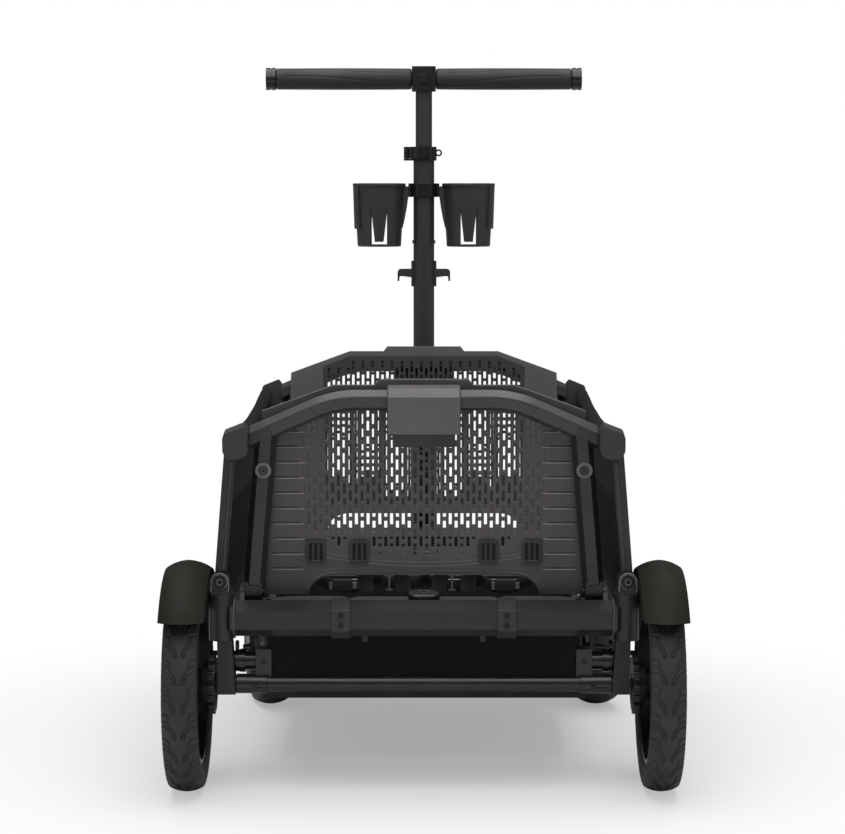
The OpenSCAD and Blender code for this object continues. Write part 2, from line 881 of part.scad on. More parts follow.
module tyre_shape() rotate_extrude() intersection() {
    translate([rim_r + fit, -tyre_w / 2]) square([rear_r - rim_r, tyre_w]);
    translate([rear_r - tyre_crown_r, 0]) circle(tyre_crown_r);
}

module rim_shape() difference() {
    union() {
        translate([0, 0, -rim_w / 2]) ring(rim_r, rim_r - rim_wall, rim_w);
        translate([0, 0, -hub_w / 2]) cylinder(r = hub_r, h = hub_w);
        translate([0, 0, hub_w / 2]) cylinder(r1 = hub_cap_r, r2 = hub_cap_r - hub_cap_h / 2,
            h = hub_cap_h);
        for (i = [0 : spokes - 1]) rotate([0, 0, i * 360 / spokes])
            translate([hub_r / 2, -spoke_w / 2, -spoke_t / 2])
                cube([rim_r - rim_wall / 2 - hub_r / 2, spoke_w, spoke_t]);
        translate([0, 0, -hub_w / 2 - ring_gap - cut]) cylinder(r = ring_drum_r, h = ring_gap + 2 * cut);
        translate([0, 0, -hub_w / 2 - ring_gap - ring_w]) {
            cylinder(r = ring_r, h = ring_w);
            for (i = [0 : ring_lobes - 1]) rotate([0, 0, i * 360 / ring_lobes])
                translate([ring_r, 0, lobe_inset])
                    cylinder(r = ring_lobe_r, h = ring_w - 2 * lobe_inset);
        }
    }
    translate([0, 0, -hub_w / 2 - ring_gap - ring_w - cut]) {
        cylinder(r = stub_r + fit,
            h = ring_gap + ring_w + cut + stub_end - track_x + hub_w / 2 + slip);
        cylinder(r = ring_bore_r, h = ring_w + cut);
    }
}

module left_rear_tyre() color(rubber) mirror([1, 0, 0]) wheel_place() tyre_shape();

module right_rear_tyre() color(rubber) wheel_place() tyre_shape();

module left_rear_rim() color(black) mirror([1, 0, 0]) wheel_place() rim_shape();

module right_rear_rim() color(black) wheel_place() rim_shape();

// Casters: the housing hangs under the side rail, the fork swivels in it
caster_top = tube_z - rail_h / 2;
crown_top = caster_top - crown_drop;

module caster_place() translate([caster_x, rear_y + caster_y, 0]) children();

module caster_housings() color(black) mirror_x() caster_place() difference() {
    union() {
        translate([0, 0, crown_top + crown_gap])
            cylinder(r = housing_r, h = caster_top - crown_top - crown_gap);
        translate([rail_in - caster_x + plate_size[0] / 2, 0, caster_top - plate_h])
            round_box([plate_size[0], plate_size[1], plate_h], plate_h);
    }
    translate([0, 0, crown_top - cut])
        cylinder(r = stem_r + fit, h = caster_top - crown_top - plate_h + cut);
}

leg_x = caster_w / 2 + leg_gap;

module caster_fork() rotate([0, 0, caster_turn]) {
    translate([0, 0, crown_top]) cylinder(r = stem_r, h = caster_top - crown_top - plate_h - slip);
    translate([-leg_x - leg_t, -leg_w, crown_top - crown_h])
        cube([2 * (leg_x + leg_t), 2 * leg_w, crown_h]);
    for (x = [-leg_x - leg_t, leg_x]) translate([x, 0, 0]) {
        translate([0, -caster_trail, caster_r]) rod_x(leg_w / 2, 0, leg_t);
        rotate([90, 0, 90]) linear_extrude(leg_t) polygon([
            [-leg_w, crown_top],
            [leg_w, crown_top],
            [leg_w / 2 - caster_trail, caster_r],
            [-leg_w / 2 - caster_trail, caster_r]
        ]);
    }
    translate([0, -caster_trail, caster_r]) {
        rod_x(axle_bolt_r, -leg_x - leg_t, leg_x + leg_t);
        mirror_x() rod_x(axle_head_r, leg_x + leg_t, leg_x + leg_t + axle_head_h);
    }
}

module caster_wheel() rotate([0, 0, caster_turn]) translate([0, -caster_trail, caster_r])
    rotate([0, 90, 0]) difference() {
        union() {
            rotate_extrude() intersection() {
                translate([caster_rim_r, -caster_w / 2]) square([caster_r - caster_rim_r, caster_w]);
                translate([caster_r - caster_tread_r, 0]) circle(caster_tread_r);
            }
            cylinder(r = caster_rim_r + fit, h = caster_web, center = true);
            cylinder(r = caster_hub_r, h = caster_w, center = true);
        }
        cylinder(r = axle_bolt_r + fit, h = caster_w + 2 * cut, center = true);
    }

module left_caster_at() translate([-caster_x, rear_y + caster_y, 0]) children();

module left_caster_fork() color(black) left_caster_at() caster_fork();

module right_caster_fork() color(black) caster_place() caster_fork();

module left_caster_wheel() color(rubber) left_caster_at() caster_wheel();

module right_caster_wheel() color(rubber) caster_place() caster_wheel();

// Corner posts and caps, which fold about the knuckle bolts
post_top_z = cap_low + cap_pocket;
post_len = (post_top_z - knuckle_z) / cos(wall_lean) / cos(post_lean);

module post_axis() from_rear() translate([socket_x, knuckle_y, knuckle_z])
    rotate([wall_lean, -post_lean, 0]) children();

module corner_post() {
    from_rear() translate([socket_x, knuckle_y, knuckle_z]) difference() {
        tang_half = knuckle_gap / 2 - slip;
        union() {
            rod_y(tang_r, -tang_half, tang_half);
            rotate([0, -post_lean, 0]) translate([-post_w / 2, -tang_half, 0])
                cube([post_w, 2 * tang_half, tang_up]);
        }
        rod_y(bolt_r + fit, -knuckle_gap, knuckle_gap);
    }
    post_axis() difference() {
        translate([-post_w / 2, -post_d / 2, post_start]) cube([post_w, post_d, post_len - post_start]);
        translate([-groove_x - groove_w, -post_d / 2 - cut, post_start - cut])
            cube([groove_w, groove_d + cut, post_len]);
    }
}

module cap_outline() intersection() {
    translate([cap_in, cap_low]) round_rect(cap_out - cap_in + cap_round, cap_high - cap_low, cap_round);
    translate([cap_in, cap_low]) square([cap_out - cap_in, cap_high - cap_low]);
    translate([cap_in, cap_high]) rotate(-cap_top_slope)
        translate([-cap_out, -2 * cap_high]) square([2 * cap_out, 2 * cap_high]);
    translate([cap_in + cap_round, cap_low]) rotate(-cap_foot_slope)
        translate([-cap_out, 0]) square([2 * cap_out, 2 * cap_high]);
    union() {
        translate([cap_in, cap_low]) square([cap_out - cap_in - cap_round, cap_high - cap_low]);
        translate([cap_in - cap_round, cap_low])
            round_rect(cap_out - cap_in + cap_round, cap_high - cap_low - cap_round / 2, cap_round);
    }
}

cap_mid_z = (cap_low + cap_high) / 2;

module corner_cap() difference() {
    from_rear() translate([0, post_y(cap_mid_z), cap_mid_z]) rotate([90 + wall_lean, 0, 0])
        translate([0, -cap_mid_z, -cap_d / 2]) linear_extrude(cap_d) cap_outline();
    post_axis() translate([-post_w / 2 - fit, -post_d / 2 - fit, post_start])
        cube([post_w + 2 * fit, post_d + 2 * fit, post_len + fit - post_start]);
}

module left_corner_posts() color(anodised) mirror([1, 0, 0]) {
    corner_post();
    at_end(true) corner_post();
}

module right_corner_posts() color(anodised) {
    corner_post();
    at_end(true) corner_post();
}

module left_corner_caps() color(moulded) mirror([1, 0, 0]) {
    corner_cap();
    at_end(true) corner_cap();
}

module right_corner_caps() color(moulded) {
    corner_cap();
    at_end(true) corner_cap();
}

// End walls, drawn in their own plane and mirrored for the front
bend_end_x = bend_x + bend_r * sin(arch_slope);
bend_end_w = arch_w - bend_r * (1 - cos(arch_slope));
seam_run = (seam_x - bend_end_x) / cos(arch_slope);
end_run = (arch_x - bend_end_x) / cos(arch_slope) + bar_side;

module slope_bar(side, run0, run1) translate([bend_end_x, 0, bend_end_w])
    rotate([0, 90 + arch_slope, 0]) translate([0, 0, run0])
        cylinder(r = side, h = run1 - run0, $fn = 6);

module arch_run(side, run1) {
    translate([0, 0, arch_w]) hex_bar(side, 2 * bend_x);
    mirror_x() {
        translate([bend_x, 0, arch_w - bend_r]) rotate([90, 0, 0]) rotate([0, 0, 90 - arch_slope])
            rotate_extrude(angle = arch_slope) translate([bend_r, 0]) circle(r = side, $fn = 6);
        slope_bar(side, 0, run1);
    }
}

module arch_tube() in_wall() difference() {
    arch_run(bar_side, seam_run);
    arch_run(bar_side - bar_wall, seam_run + cut);
}

module arch_ends() in_wall() mirror_x() intersection() {
    slope_bar(bar_side, seam_run, end_run);
    translate([0, -bar_side, 0]) cube([arch_x, 2 * bar_side, 2 * arch_w]);
}

// Where an upright's centre line meets the arch's
upright_top = (bend_end_w - (upright_x - bend_end_x) * tan(arch_slope))
    / (1 - tan(upright_lean) * tan(arch_slope)) / cos(upright_lean);

eye_r = hinge_z - rail_top - slip;

module upright_tube(side, w0) translate([upright_x, 0, 0]) rotate([0, -upright_lean, 0])
    translate([0, 0, w0]) cylinder(r = side, h = upright_top - w0, $fn = 6);

module uprights() in_wall() mirror_x() difference() {
    union() {
        upright_tube(bar_side, bar_flat);
        translate([upright_x, 0, 0]) {
            rod_x(eye_r, -eye_w / 2, eye_w / 2);
            translate([-eye_w / 2, -eye_r, 0]) cube([eye_w, 2 * eye_r, bar_side + bar_wall]);
        }
    }
    upright_tube(bar_side - bar_wall, bar_side + 2 * bar_wall);
    translate([upright_x, 0, 0]) rod_x(hinge_pin_r + fit, -eye_w, eye_w);
    slope_bar(bar_side + fit, 0, end_run);
}

// Half of a shape in the wall's plane, doubled, then given its thickness on the inner side
module panel_plate(inner, t) rotate([90, 0, 0]) translate([0, 0, -inner - t]) linear_extrude(t)
    children();

module panel_outline() polygon([
    [-panel_foot_x, panel_low], [panel_foot_x, panel_low],
    [panel_side_x, panel_side_w], [panel_top_x, panel_top_w],
    [bump_x + bump_run, panel_top_w], [bump_x, bump_w],
    [-bump_x, bump_w], [-bump_x - bump_run, panel_top_w],
    [-panel_top_x, panel_top_w], [-panel_side_x, panel_side_w]
]);

// The arched opening at the foot of a panel
module panel_arch() {
    right = [for (i = [0 : arch_steps]) let (t = 90 * i / arch_steps) [
        arch_cut_top_x + (arch_cut_x - arch_cut_top_x) * cos(t),
        panel_low - cut + (arch_cut_w - panel_low + cut) * sin(t)
    ]];
    polygon(concat(right, [for (i = [arch_steps : -1 : 0]) [-right[i][0], right[i][1]]]));
}

module grille_outline(inset) polygon([
    [inset - grille_foot_x, grille_low + inset], [grille_foot_x - inset, grille_low + inset],
    [grille_x - inset, wall_top_w(grille_x) - 2 * panel_t - inset],
    [panel_top_x - inset, grille_top_w - panel_t - inset],
    [inset - panel_top_x, grille_top_w - panel_t - inset],
    [inset - grille_x, wall_top_w(grille_x) - 2 * panel_t - inset]
]);

module panel_frame() in_wall() difference() {
    panel_plate(bar_flat, panel_t) difference() {
        panel_outline();
        panel_arch();
        grille_outline(0);
    }
    mirror_x() translate([guide_x_shares[1] * grille_x - guide_size[0] / 2 - fit, bar_flat - cut,
        guide_w - guide_size[1] / 2 - fit])
            cube([guide_size[0] + 2 * fit, cut + grille_inset + fit, guide_size[1] + 2 * fit]);
    mirror_x() for (i = [0 : slot_rows - 1])
        translate([panel_groove_in, bar_flat - cut, panel_groove_low + i * slot_rise])
            cube([panel_groove_out - panel_groove_in, cut + panel_groove_d, panel_groove_w]);
}

// Slots stand in staggered columns, and only those inside the outline are cut
function slot_at(i, j) = [
    (i - (slot_cols - 1) / 2) * slot_pitch,
    slot_first + j * slot_rise + (i % 2) * slot_rise / 2
];
function slot_low(x) = slot_floor + slot_bow * pow(x / grille_x, 2);
function on_guide(x) = max([for (share = guide_x_shares)
    abs(x - share * grille_x) < guide_size[0] / 2 + slot_w ? 1 : 0]) > 0;
function slot_fits(p) = p[1] + slot_len / 2 + slot_w < wall_top_w(abs(p[0])) - 2 * panel_t
    && p[1] - slot_len / 2 > slot_low(abs(p[0]))
    && (!on_guide(abs(p[0])) || p[1] - slot_len / 2 > guide_w + guide_size[1] / 2 + slot_w / 2);
slots = [for (i = [0 : slot_cols - 1], j = [0 : slot_rows - 1])
    let (p = slot_at(i, j)) if (slot_fits(p)) p];

module strap_guides() for (share = guide_x_shares) mirror_x()
    translate([share * grille_x - guide_size[0] / 2, 0, guide_w - guide_size[1] / 2])
        rotate([90, 0, 0]) translate([0, 0, -bar_flat - grille_inset]) linear_extrude(guide_t + grille_inset)
            difference() {
                round_rect(guide_size[0], guide_size[1], guide_rim);
                for (i = [0 : guide_bars]) translate([guide_rim + i * (guide_gap + guide_bar), guide_rim])
                    square([guide_gap, guide_size[1] - 2 * guide_rim]);
            }

module grille() in_wall() {
    difference() {
        panel_plate(bar_flat, panel_t) grille_outline(fit);
        for (p = slots) translate([p[0] - slot_w / 2, bar_flat - cut, p[1] - slot_len / 2])
            cube([slot_w, panel_t + 2 * cut, slot_len]);
    }
    strap_guides();
}

module latch_cover() in_wall() difference() {
    translate([-cover_x, 0, arch_w]) rotate([90, 0, 90]) linear_extrude(2 * cover_x) polygon([
        [-cover_front, -cover_low], [-cover_front, cover_rise - cover_chamfer],
        [cover_chamfer - cover_front, cover_rise], [bar_flat - fit, cover_rise],
        [bar_flat - fit, 0], [-cover_back, 0], [-cover_back, -cover_low]
    ]);
    translate([0, 0, arch_w]) hex_bar(bar_side + fit, 2 * (cover_x + cut));
    translate([-lever_x - slip, -lever_in - lever_t - slip, arch_w - cover_low - cut])
        cube([2 * (lever_x + slip), lever_t + 2 * slip,
            cover_low - lever_top + lever_travel + slip + cut]);
}

module release_lever() in_wall() {
    translate([-lever_x, -lever_in - lever_t, arch_w - lever_low + lever_lip])
        cube([2 * lever_x, lever_t, lever_low - lever_top - lever_lip]);
    translate([-lever_x, -lever_in - lever_t, arch_w - lever_low])
        cube([2 * lever_x, lever_t + lever_lip, lever_lip]);
}

module wall_bolts() in_wall() mirror_x()
    translate([upright_x - wall_bolt_w * tan(upright_lean), -bar_flat, wall_bolt_w]) difference() {
        union() {
            rod_y(washer_r, -washer_h, 0);
            rod_y(wall_bolt_r, -washer_h - wall_bolt_h, 0);
        }
        translate([0, -washer_h - wall_bolt_h, 0]) rotate([90, 0, 0])
            cylinder(r = wall_key_r, h = wall_bolt_h, center = true, $fn = 6);
    }

module rear_uprights() color(anodised) uprights();

module rear_arch_tube() color(anodised) arch_tube();

module rear_arch_ends() color(moulded) arch_ends();

module rear_panel_frame() color(moulded) panel_frame();

module rear_grille() color(moulded) grille();

module rear_latch_cover() color(moulded) latch_cover();

module rear_wall_bolts() color(steel) wall_bolts();

module rear_release_lever() color(black) release_lever();

module front_uprights() color(anodised) at_end(true) uprights();

module front_arch_tube() color(anodised) at_end(true) arch_tube();

module front_arch_ends() color(moulded) at_end(true) arch_ends();

module front_panel_frame() color(moulded) at_end(true) panel_frame();

module front_grille() color(moulded) at_end(true) grille();

module front_latch_cover() color(moulded) at_end(true) latch_cover();

module front_wall_bolts() color(steel) at_end(true) wall_bolts();

module front_release_lever() color(black) at_end(true) release_lever();

// Handle: yoke on the front cross tube, then the pole and what it carries
module handle_yoke() color(black) difference() {
    union() {
        translate([-yoke_x - yoke_t, front_y + tube_flat, tube_z - yoke_plate_h / 2])
            cube([2 * (yoke_x + yoke_t), yoke_t, yoke_plate_h]);
        for (x = [-yoke_x - yoke_t, yoke_x]) translate([x, 0, 0]) {
            translate([0, front_y + tube_flat, tube_z - yoke_plate_h / 2])
                cube([yoke_t, pole_out - tube_flat, yoke_plate_h]);
            translate([0, pole_y, tube_z]) rod_x(yoke_r, 0, yoke_t);
        }
    }
    translate([0, pole_y, tube_z]) rod_x(pole_pin_r + fit, -2 * yoke_x, 2 * yoke_x);
}

module on_pole(z) translate([0, pole_y, z]) children();

module pole_foot() color(black) on_pole(tube_z) difference() {
    union() {
        rod_x(foot_eye_r, slip - yoke_x, yoke_x - slip);
        cylinder(r = foot_r, h = foot_h);
    }
    rod_x(pole_pin_r + fit, -yoke_x, yoke_x);
    translate([0, 0, foot_bore]) cylinder(r = pole_r + fit, h = foot_h);
}

module pole_outer_tube() color(anodised) on_pole(tube_z + foot_bore) {
    ring(pole_r, pole_r - pole_wall, pole_top - tube_z - foot_bore);
    mirror_x() translate([0, 0, rivet_z - tube_z - foot_bore])
        rod_x(rivet_r, pole_r - pole_wall / 2, pole_r + rivet_h);
}

module clamp_collar() color(black) on_pole(pole_top) difference() {
    union() {
        translate([0, 0, -collar_low]) cylinder(r = pole_r + collar_wall, h = collar_low + collar_high);
        for (z = [-collar_low, collar_high - ear_t]) translate([-ear_x, 0, z]) {
            cylinder(r = ear_r, h = ear_t);
            translate([0, -ear_r, 0]) cube([ear_x, 2 * ear_r, ear_t]);
        }
        translate([pole_r + collar_wall + strap_eye_bore, 0, 0])
            rod_y(strap_eye_r, -strap_eye_t / 2, strap_eye_t / 2);
    }
    translate([0, 0, -collar_low - cut]) cylinder(r = pole_r + fit, h = collar_low + cut);
    cylinder(r = inner_r + 2 * fit, h = collar_high + cut);
    translate([-ear_x, 0, -collar_low - cut])
        cylinder(r = trunnion_r + fit, h = collar_low + collar_high + 2 * cut);
    translate([pole_r + collar_wall + strap_eye_bore, 0, 0])
        rod_y(strap_eye_bore, -strap_eye_t, strap_eye_t);
}

// The lever lies round the front of the collar and swings out about its trunnion
module clamp_lever() color(black) on_pole(pole_top - collar_low) {
    lever_z = ear_t + slip;
    lever_h = collar_low + collar_high - 2 * lever_z;
    translate([-ear_x, 0, 0]) {
        cylinder(r = trunnion_r, h = collar_low + collar_high);
        translate([0, 0, lever_z]) cylinder(r = ear_r - slip, h = lever_h);
    }
    translate([0, 0, lever_z]) rotate([0, 0, 180]) rotate_extrude(angle = lever_arc)
        translate([lever_arc_r, 0]) square([lever_arc_t, lever_h]);
}

clamp_low = cup_z + cup_h - clamp_h;

module cup_clamp() color(black) on_pole(clamp_low) difference() {
    union() {
        cylinder(r = pole_r + clamp_wall, h = clamp_h);
        translate([-clamp_pad, -clamp_pad_w / 2, 0]) cube([2 * clamp_pad, clamp_pad_w, clamp_h]);
    }
    translate([0, 0, -cut]) cylinder(r = pole_r + fit, h = clamp_h + 2 * cut);
}

// A tapered cup on the right of the pole, with a sprung tongue in its window
module cup() {
    on_pole(cup_z) translate([cup_x, 0, 0]) difference() {
        union() {
            cylinder(r1 = cup_base_r, r2 = cup_rim_r - cup_lip, h = cup_h);
            translate([0, 0, cup_h - cup_lip_h]) cylinder(r = cup_rim_r, h = cup_lip_h);
            intersection() {
                cylinder(r1 = cup_base_r + cup_panel_t, r2 = cup_rim_r - cup_lip + cup_panel_t, h = cup_h);
                translate([0, -cup_rim_r, 0])
                    cube([2 * cup_rim_r, 2 * cup_rim_r, cup_h * cup_panel_share]);
            }
            translate([clamp_pad - cup_x, -gusset_t / 2, cup_h - gusset_h])
                cube([cup_x - clamp_pad - cup_base_r, gusset_t, gusset_h - cup_lip_h]);
        }
        translate([0, 0, cup_floor]) cylinder(r1 = cup_base_r - cup_wall,
            r2 = cup_rim_r - cup_lip - cup_wall, h = cup_h - cup_floor);
        translate([0, 0, cup_h - cut]) cylinder(r = cup_rim_r - cup_lip - cup_wall, h = 2 * cut);
        translate([0, -cup_base_r / 2, window_low]) rotate([90, 0, 0]) linear_extrude(cup_rim_r)
            difference() {
                translate([-window_w / 2, 0]) round_rect(window_w, window_h, cup_lip_h);
                polygon([
                    [-tongue_w / 2, -cut], [tongue_w / 2, -cut],
                    [tongue_top_w / 2, tongue_h], [-tongue_top_w / 2, tongue_h]
                ]);
            }
    }
}

module left_cup() color(black) mirror([1, 0, 0]) cup();

module right_cup() color(black) cup();

module hook_bracket() color(black) on_pole(hook_z) difference() {
    union() {
        cylinder(r = pole_r + hook_wall, h = hook_h);
        mirror_x() translate([0, 0, hook_h / 2]) {
            rod_x(hook_r, pole_r, pole_r + hook_wall + hook_reach);
            translate([pole_r + hook_wall + hook_reach - hook_lip_t, -hook_r, hook_r - hook_lip - hook_r])
                cube([hook_lip_t, 2 * hook_r, hook_lip + hook_r]);
        }
    }
    translate([0, 0, -cut]) cylinder(r = pole_r + fit, h = hook_h + 2 * cut);
}

// Telescopic part: inner tube with its guide slider, tee, button and grips
tee_z = bar_z - tee_h / 2;

module pole_inner_tube() color(anodised) on_pole(inner_low) difference() {
    union() {
        cylinder(r = inner_r, h = tee_z + tee_sink - inner_low);
        cylinder(r = pole_r - pole_wall - 2 * fit, h = slider_h);
    }
    translate([0, 0, -cut]) cylinder(r = inner_r - pole_wall, h = tee_z + tee_sink - inner_low + 2 * cut);
}

module tee_block() color(black) on_pole(tee_z) difference() {
    union() {
        round_box([tee_w, tee_w, tee_h], tee_round);
        translate([0, 0, tee_h / 2]) rod_x(core_r, cap_len / 2 - bar_len / 2, bar_len / 2 - cap_len / 2);
    }
    translate([0, 0, -cut]) cylinder(r = inner_r + fit, h = tee_sink + cut);
    translate([-button_w / 2 - slip, -tee_w / 2 - cut, tee_h / 2 - button_w / 2 - slip])
        cube([button_w + 2 * slip, button_in + button_travel + slip + cut, button_w + 2 * slip]);
}

module tee_button() color(steel) on_pole(bar_z)
    translate([-button_w / 2, -tee_w / 2 - button_proud, -button_w / 2])
        cube([button_w, button_proud + button_in, button_w]);

module handle_grips() color(rubber) on_pole(bar_z) mirror_x() difference() {
    rod_x(grip_r, tee_w / 2 + slip, bar_len / 2 - cap_len - slip);
    rod_x(core_r + fit, 0, bar_len);
}

module grip_caps() color(black) on_pole(bar_z) mirror_x() difference() {
    rod_x(grip_r + cap_extra, bar_len / 2 - cap_len, bar_len / 2);
    rod_x(core_r + fit, 0, bar_len / 2 - cap_len / 2 + slip);
    translate([bar_len / 2 - cap_len / 2, 0, 0]) rotate([0, 90, 0]) translate([0, 0, -cap_groove_w / 2])
        ring(grip_r + cap_extra + cut, grip_r + cap_extra - cap_groove, cap_groove_w);
}

crossmembers();
side_rails();
rear_axle();
brake_carriers();
tube_brackets();
knuckles();
frame_bolts();
pivot_pins();
footwell_pan();
footwell_skirt();
seat_decks();
seat_pads();
harness();
side_fabrics();
fenders();
caster_housings();
handle_yoke();
left_corner_posts();
left_corner_caps();
right_corner_posts();
right_corner_caps();
rear_uprights();
rear_arch_tube();
rear_arch_ends();
rear_panel_frame();
rear_grille();
rear_latch_cover();
rear_wall_bolts();
rear_release_lever();
front_uprights();
front_arch_tube();
front_arch_ends();
front_panel_frame();
front_grille();
front_latch_cover();
front_wall_bolts();
front_release_lever();
pole_foot();
pole_outer_tube();
clamp_collar();
clamp_lever();
cup_clamp();
left_cup();
right_cup();
hook_bracket();
pole_inner_tube();
tee_block();
tee_button();
handle_grips();
grip_caps();
left_caster_fork();
right_caster_fork();
left_caster_wheel();
right_caster_wheel();
left_rear_tyre();
right_rear_tyre();
left_rear_rim();
right_rear_rim();
left_brake_pedal();
right_brake_pedal();
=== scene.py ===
"""Looks of a folding stroller wagon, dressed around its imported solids."""

import json
import logging
import math
from dataclasses import dataclass, field, replace
from enum import Enum
from functools import partial
from typing import Callable, Iterable, Sequence

import bmesh
import bpy
import numpy as np
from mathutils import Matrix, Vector

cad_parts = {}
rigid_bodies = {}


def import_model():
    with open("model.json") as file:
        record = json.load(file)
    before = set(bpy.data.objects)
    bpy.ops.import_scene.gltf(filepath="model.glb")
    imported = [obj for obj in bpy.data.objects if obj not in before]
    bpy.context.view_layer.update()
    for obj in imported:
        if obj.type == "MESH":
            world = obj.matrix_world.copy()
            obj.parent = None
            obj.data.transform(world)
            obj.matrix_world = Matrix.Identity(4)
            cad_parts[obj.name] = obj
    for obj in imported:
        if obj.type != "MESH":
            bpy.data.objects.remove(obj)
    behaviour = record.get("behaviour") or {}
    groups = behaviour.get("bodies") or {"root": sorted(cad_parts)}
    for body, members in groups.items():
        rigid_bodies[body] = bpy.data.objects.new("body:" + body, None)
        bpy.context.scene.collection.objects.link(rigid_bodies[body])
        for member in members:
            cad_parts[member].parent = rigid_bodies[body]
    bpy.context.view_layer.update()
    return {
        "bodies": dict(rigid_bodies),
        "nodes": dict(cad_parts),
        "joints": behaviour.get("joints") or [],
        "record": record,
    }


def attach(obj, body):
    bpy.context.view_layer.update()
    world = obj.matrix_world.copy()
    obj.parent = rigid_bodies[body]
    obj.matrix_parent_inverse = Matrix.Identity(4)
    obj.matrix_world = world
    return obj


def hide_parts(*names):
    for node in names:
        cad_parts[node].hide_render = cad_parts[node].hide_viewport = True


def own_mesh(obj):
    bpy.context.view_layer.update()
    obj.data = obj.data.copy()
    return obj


LOG = logging.getLogger("wagon")
MM = 0.001
WHITE = (1.0, 1.0, 1.0, 1.0)

# Main places of the frame, in metres, as the part's source has them
REAR_Y = -0.36475
FRAME_LEN = 0.770
FRONT_Y = REAR_Y + FRAME_LEN
MID_Y = (REAR_Y + FRONT_Y) / 2
POLE_Y = FRONT_Y + 0.062
HINGE_IN = 0.028
HINGE_Z = 0.270
WALL_LEAN = math.radians(8.5)
POST_ROLL = math.radians(5.2)
POST_X = 0.2785
KNUCKLE_Z = 0.291
RAIL_OUT = 0.2655
RAIL_TOP = 0.258
AXLE_Z = 0.147
REAR_DECK = 0.215
FOOTWELL_LEN = 0.290
TUBE_FLAT = 0.02165
PAD_GAP = 0.003

# Turns that lay a weave on upright cloth: along a side, round four walls, or across an end
FACE_SIDE = (-math.pi / 2, -math.pi / 2, 0.0)
FACE_ROUND = (-math.pi / 2, -math.pi / 4, 0.0)
FACE_END = (-math.pi / 2, 0.0, 0.0)

# How a material turns its grain into looks
MESH_PORES = 1.4
BRUSH_STRETCH = 0.02
THREAD_SHADE = 0.45
BUMP_DEPTH = 0.4 * MM
WOVEN_SWING = 0.06
HARD_SWING = 0.07


class Side(Enum):
    """The two sides of the wagon, as signs of X."""

    LEFT = -1
    RIGHT = 1

    @property
    def word(self) -> str:
        """The side's name in lower case."""
        return self.name.lower()


class Grain(Enum):
    """Kinds of surface relief that a finish can carry."""

    SMOOTH = "smooth"
    LEATHERY = "leathery"
    BRUSHED = "brushed"
    CANVAS = "canvas"
    MESH = "mesh"
    WEBBING = "webbing"


WOVEN = (Grain.CANVAS, Grain.MESH, Grain.WEBBING)


def linear(srgb: Sequence[int]) -> tuple[float, float, float, float]:
    """Scene-linear colour of an 8-bit sRGB one.

    Args:
        srgb: Red, green and blue from 0 to 255.

    Returns:
        Linear red, green, blue and an alpha of 1.
    """
    out = []
    for value in srgb:
        c = value / 255
        out.append(c / 12.92 if c <= 0.04045 else ((c + 0.055) / 1.055) ** 2.4)
    return (out[0], out[1], out[2], 1.0)


@dataclass(frozen=True)
class Finish:
    """One finish of the wagon and the relief that it carries."""

    name: str
    slot: str
    colour: tuple[int, int, int]
    roughness: float
    metallic: float = 0.0
    grain: Grain = Grain.SMOOTH
    grain_scale: float = 900.0
    bump: float = 0.08
    mottle: float = 0.12
    wear: float = 0.15
    sheen: float = 0.0
    specular: float = 0.5
    turn: tuple[float, float, float] = (0.0, 0.0, 0.0)


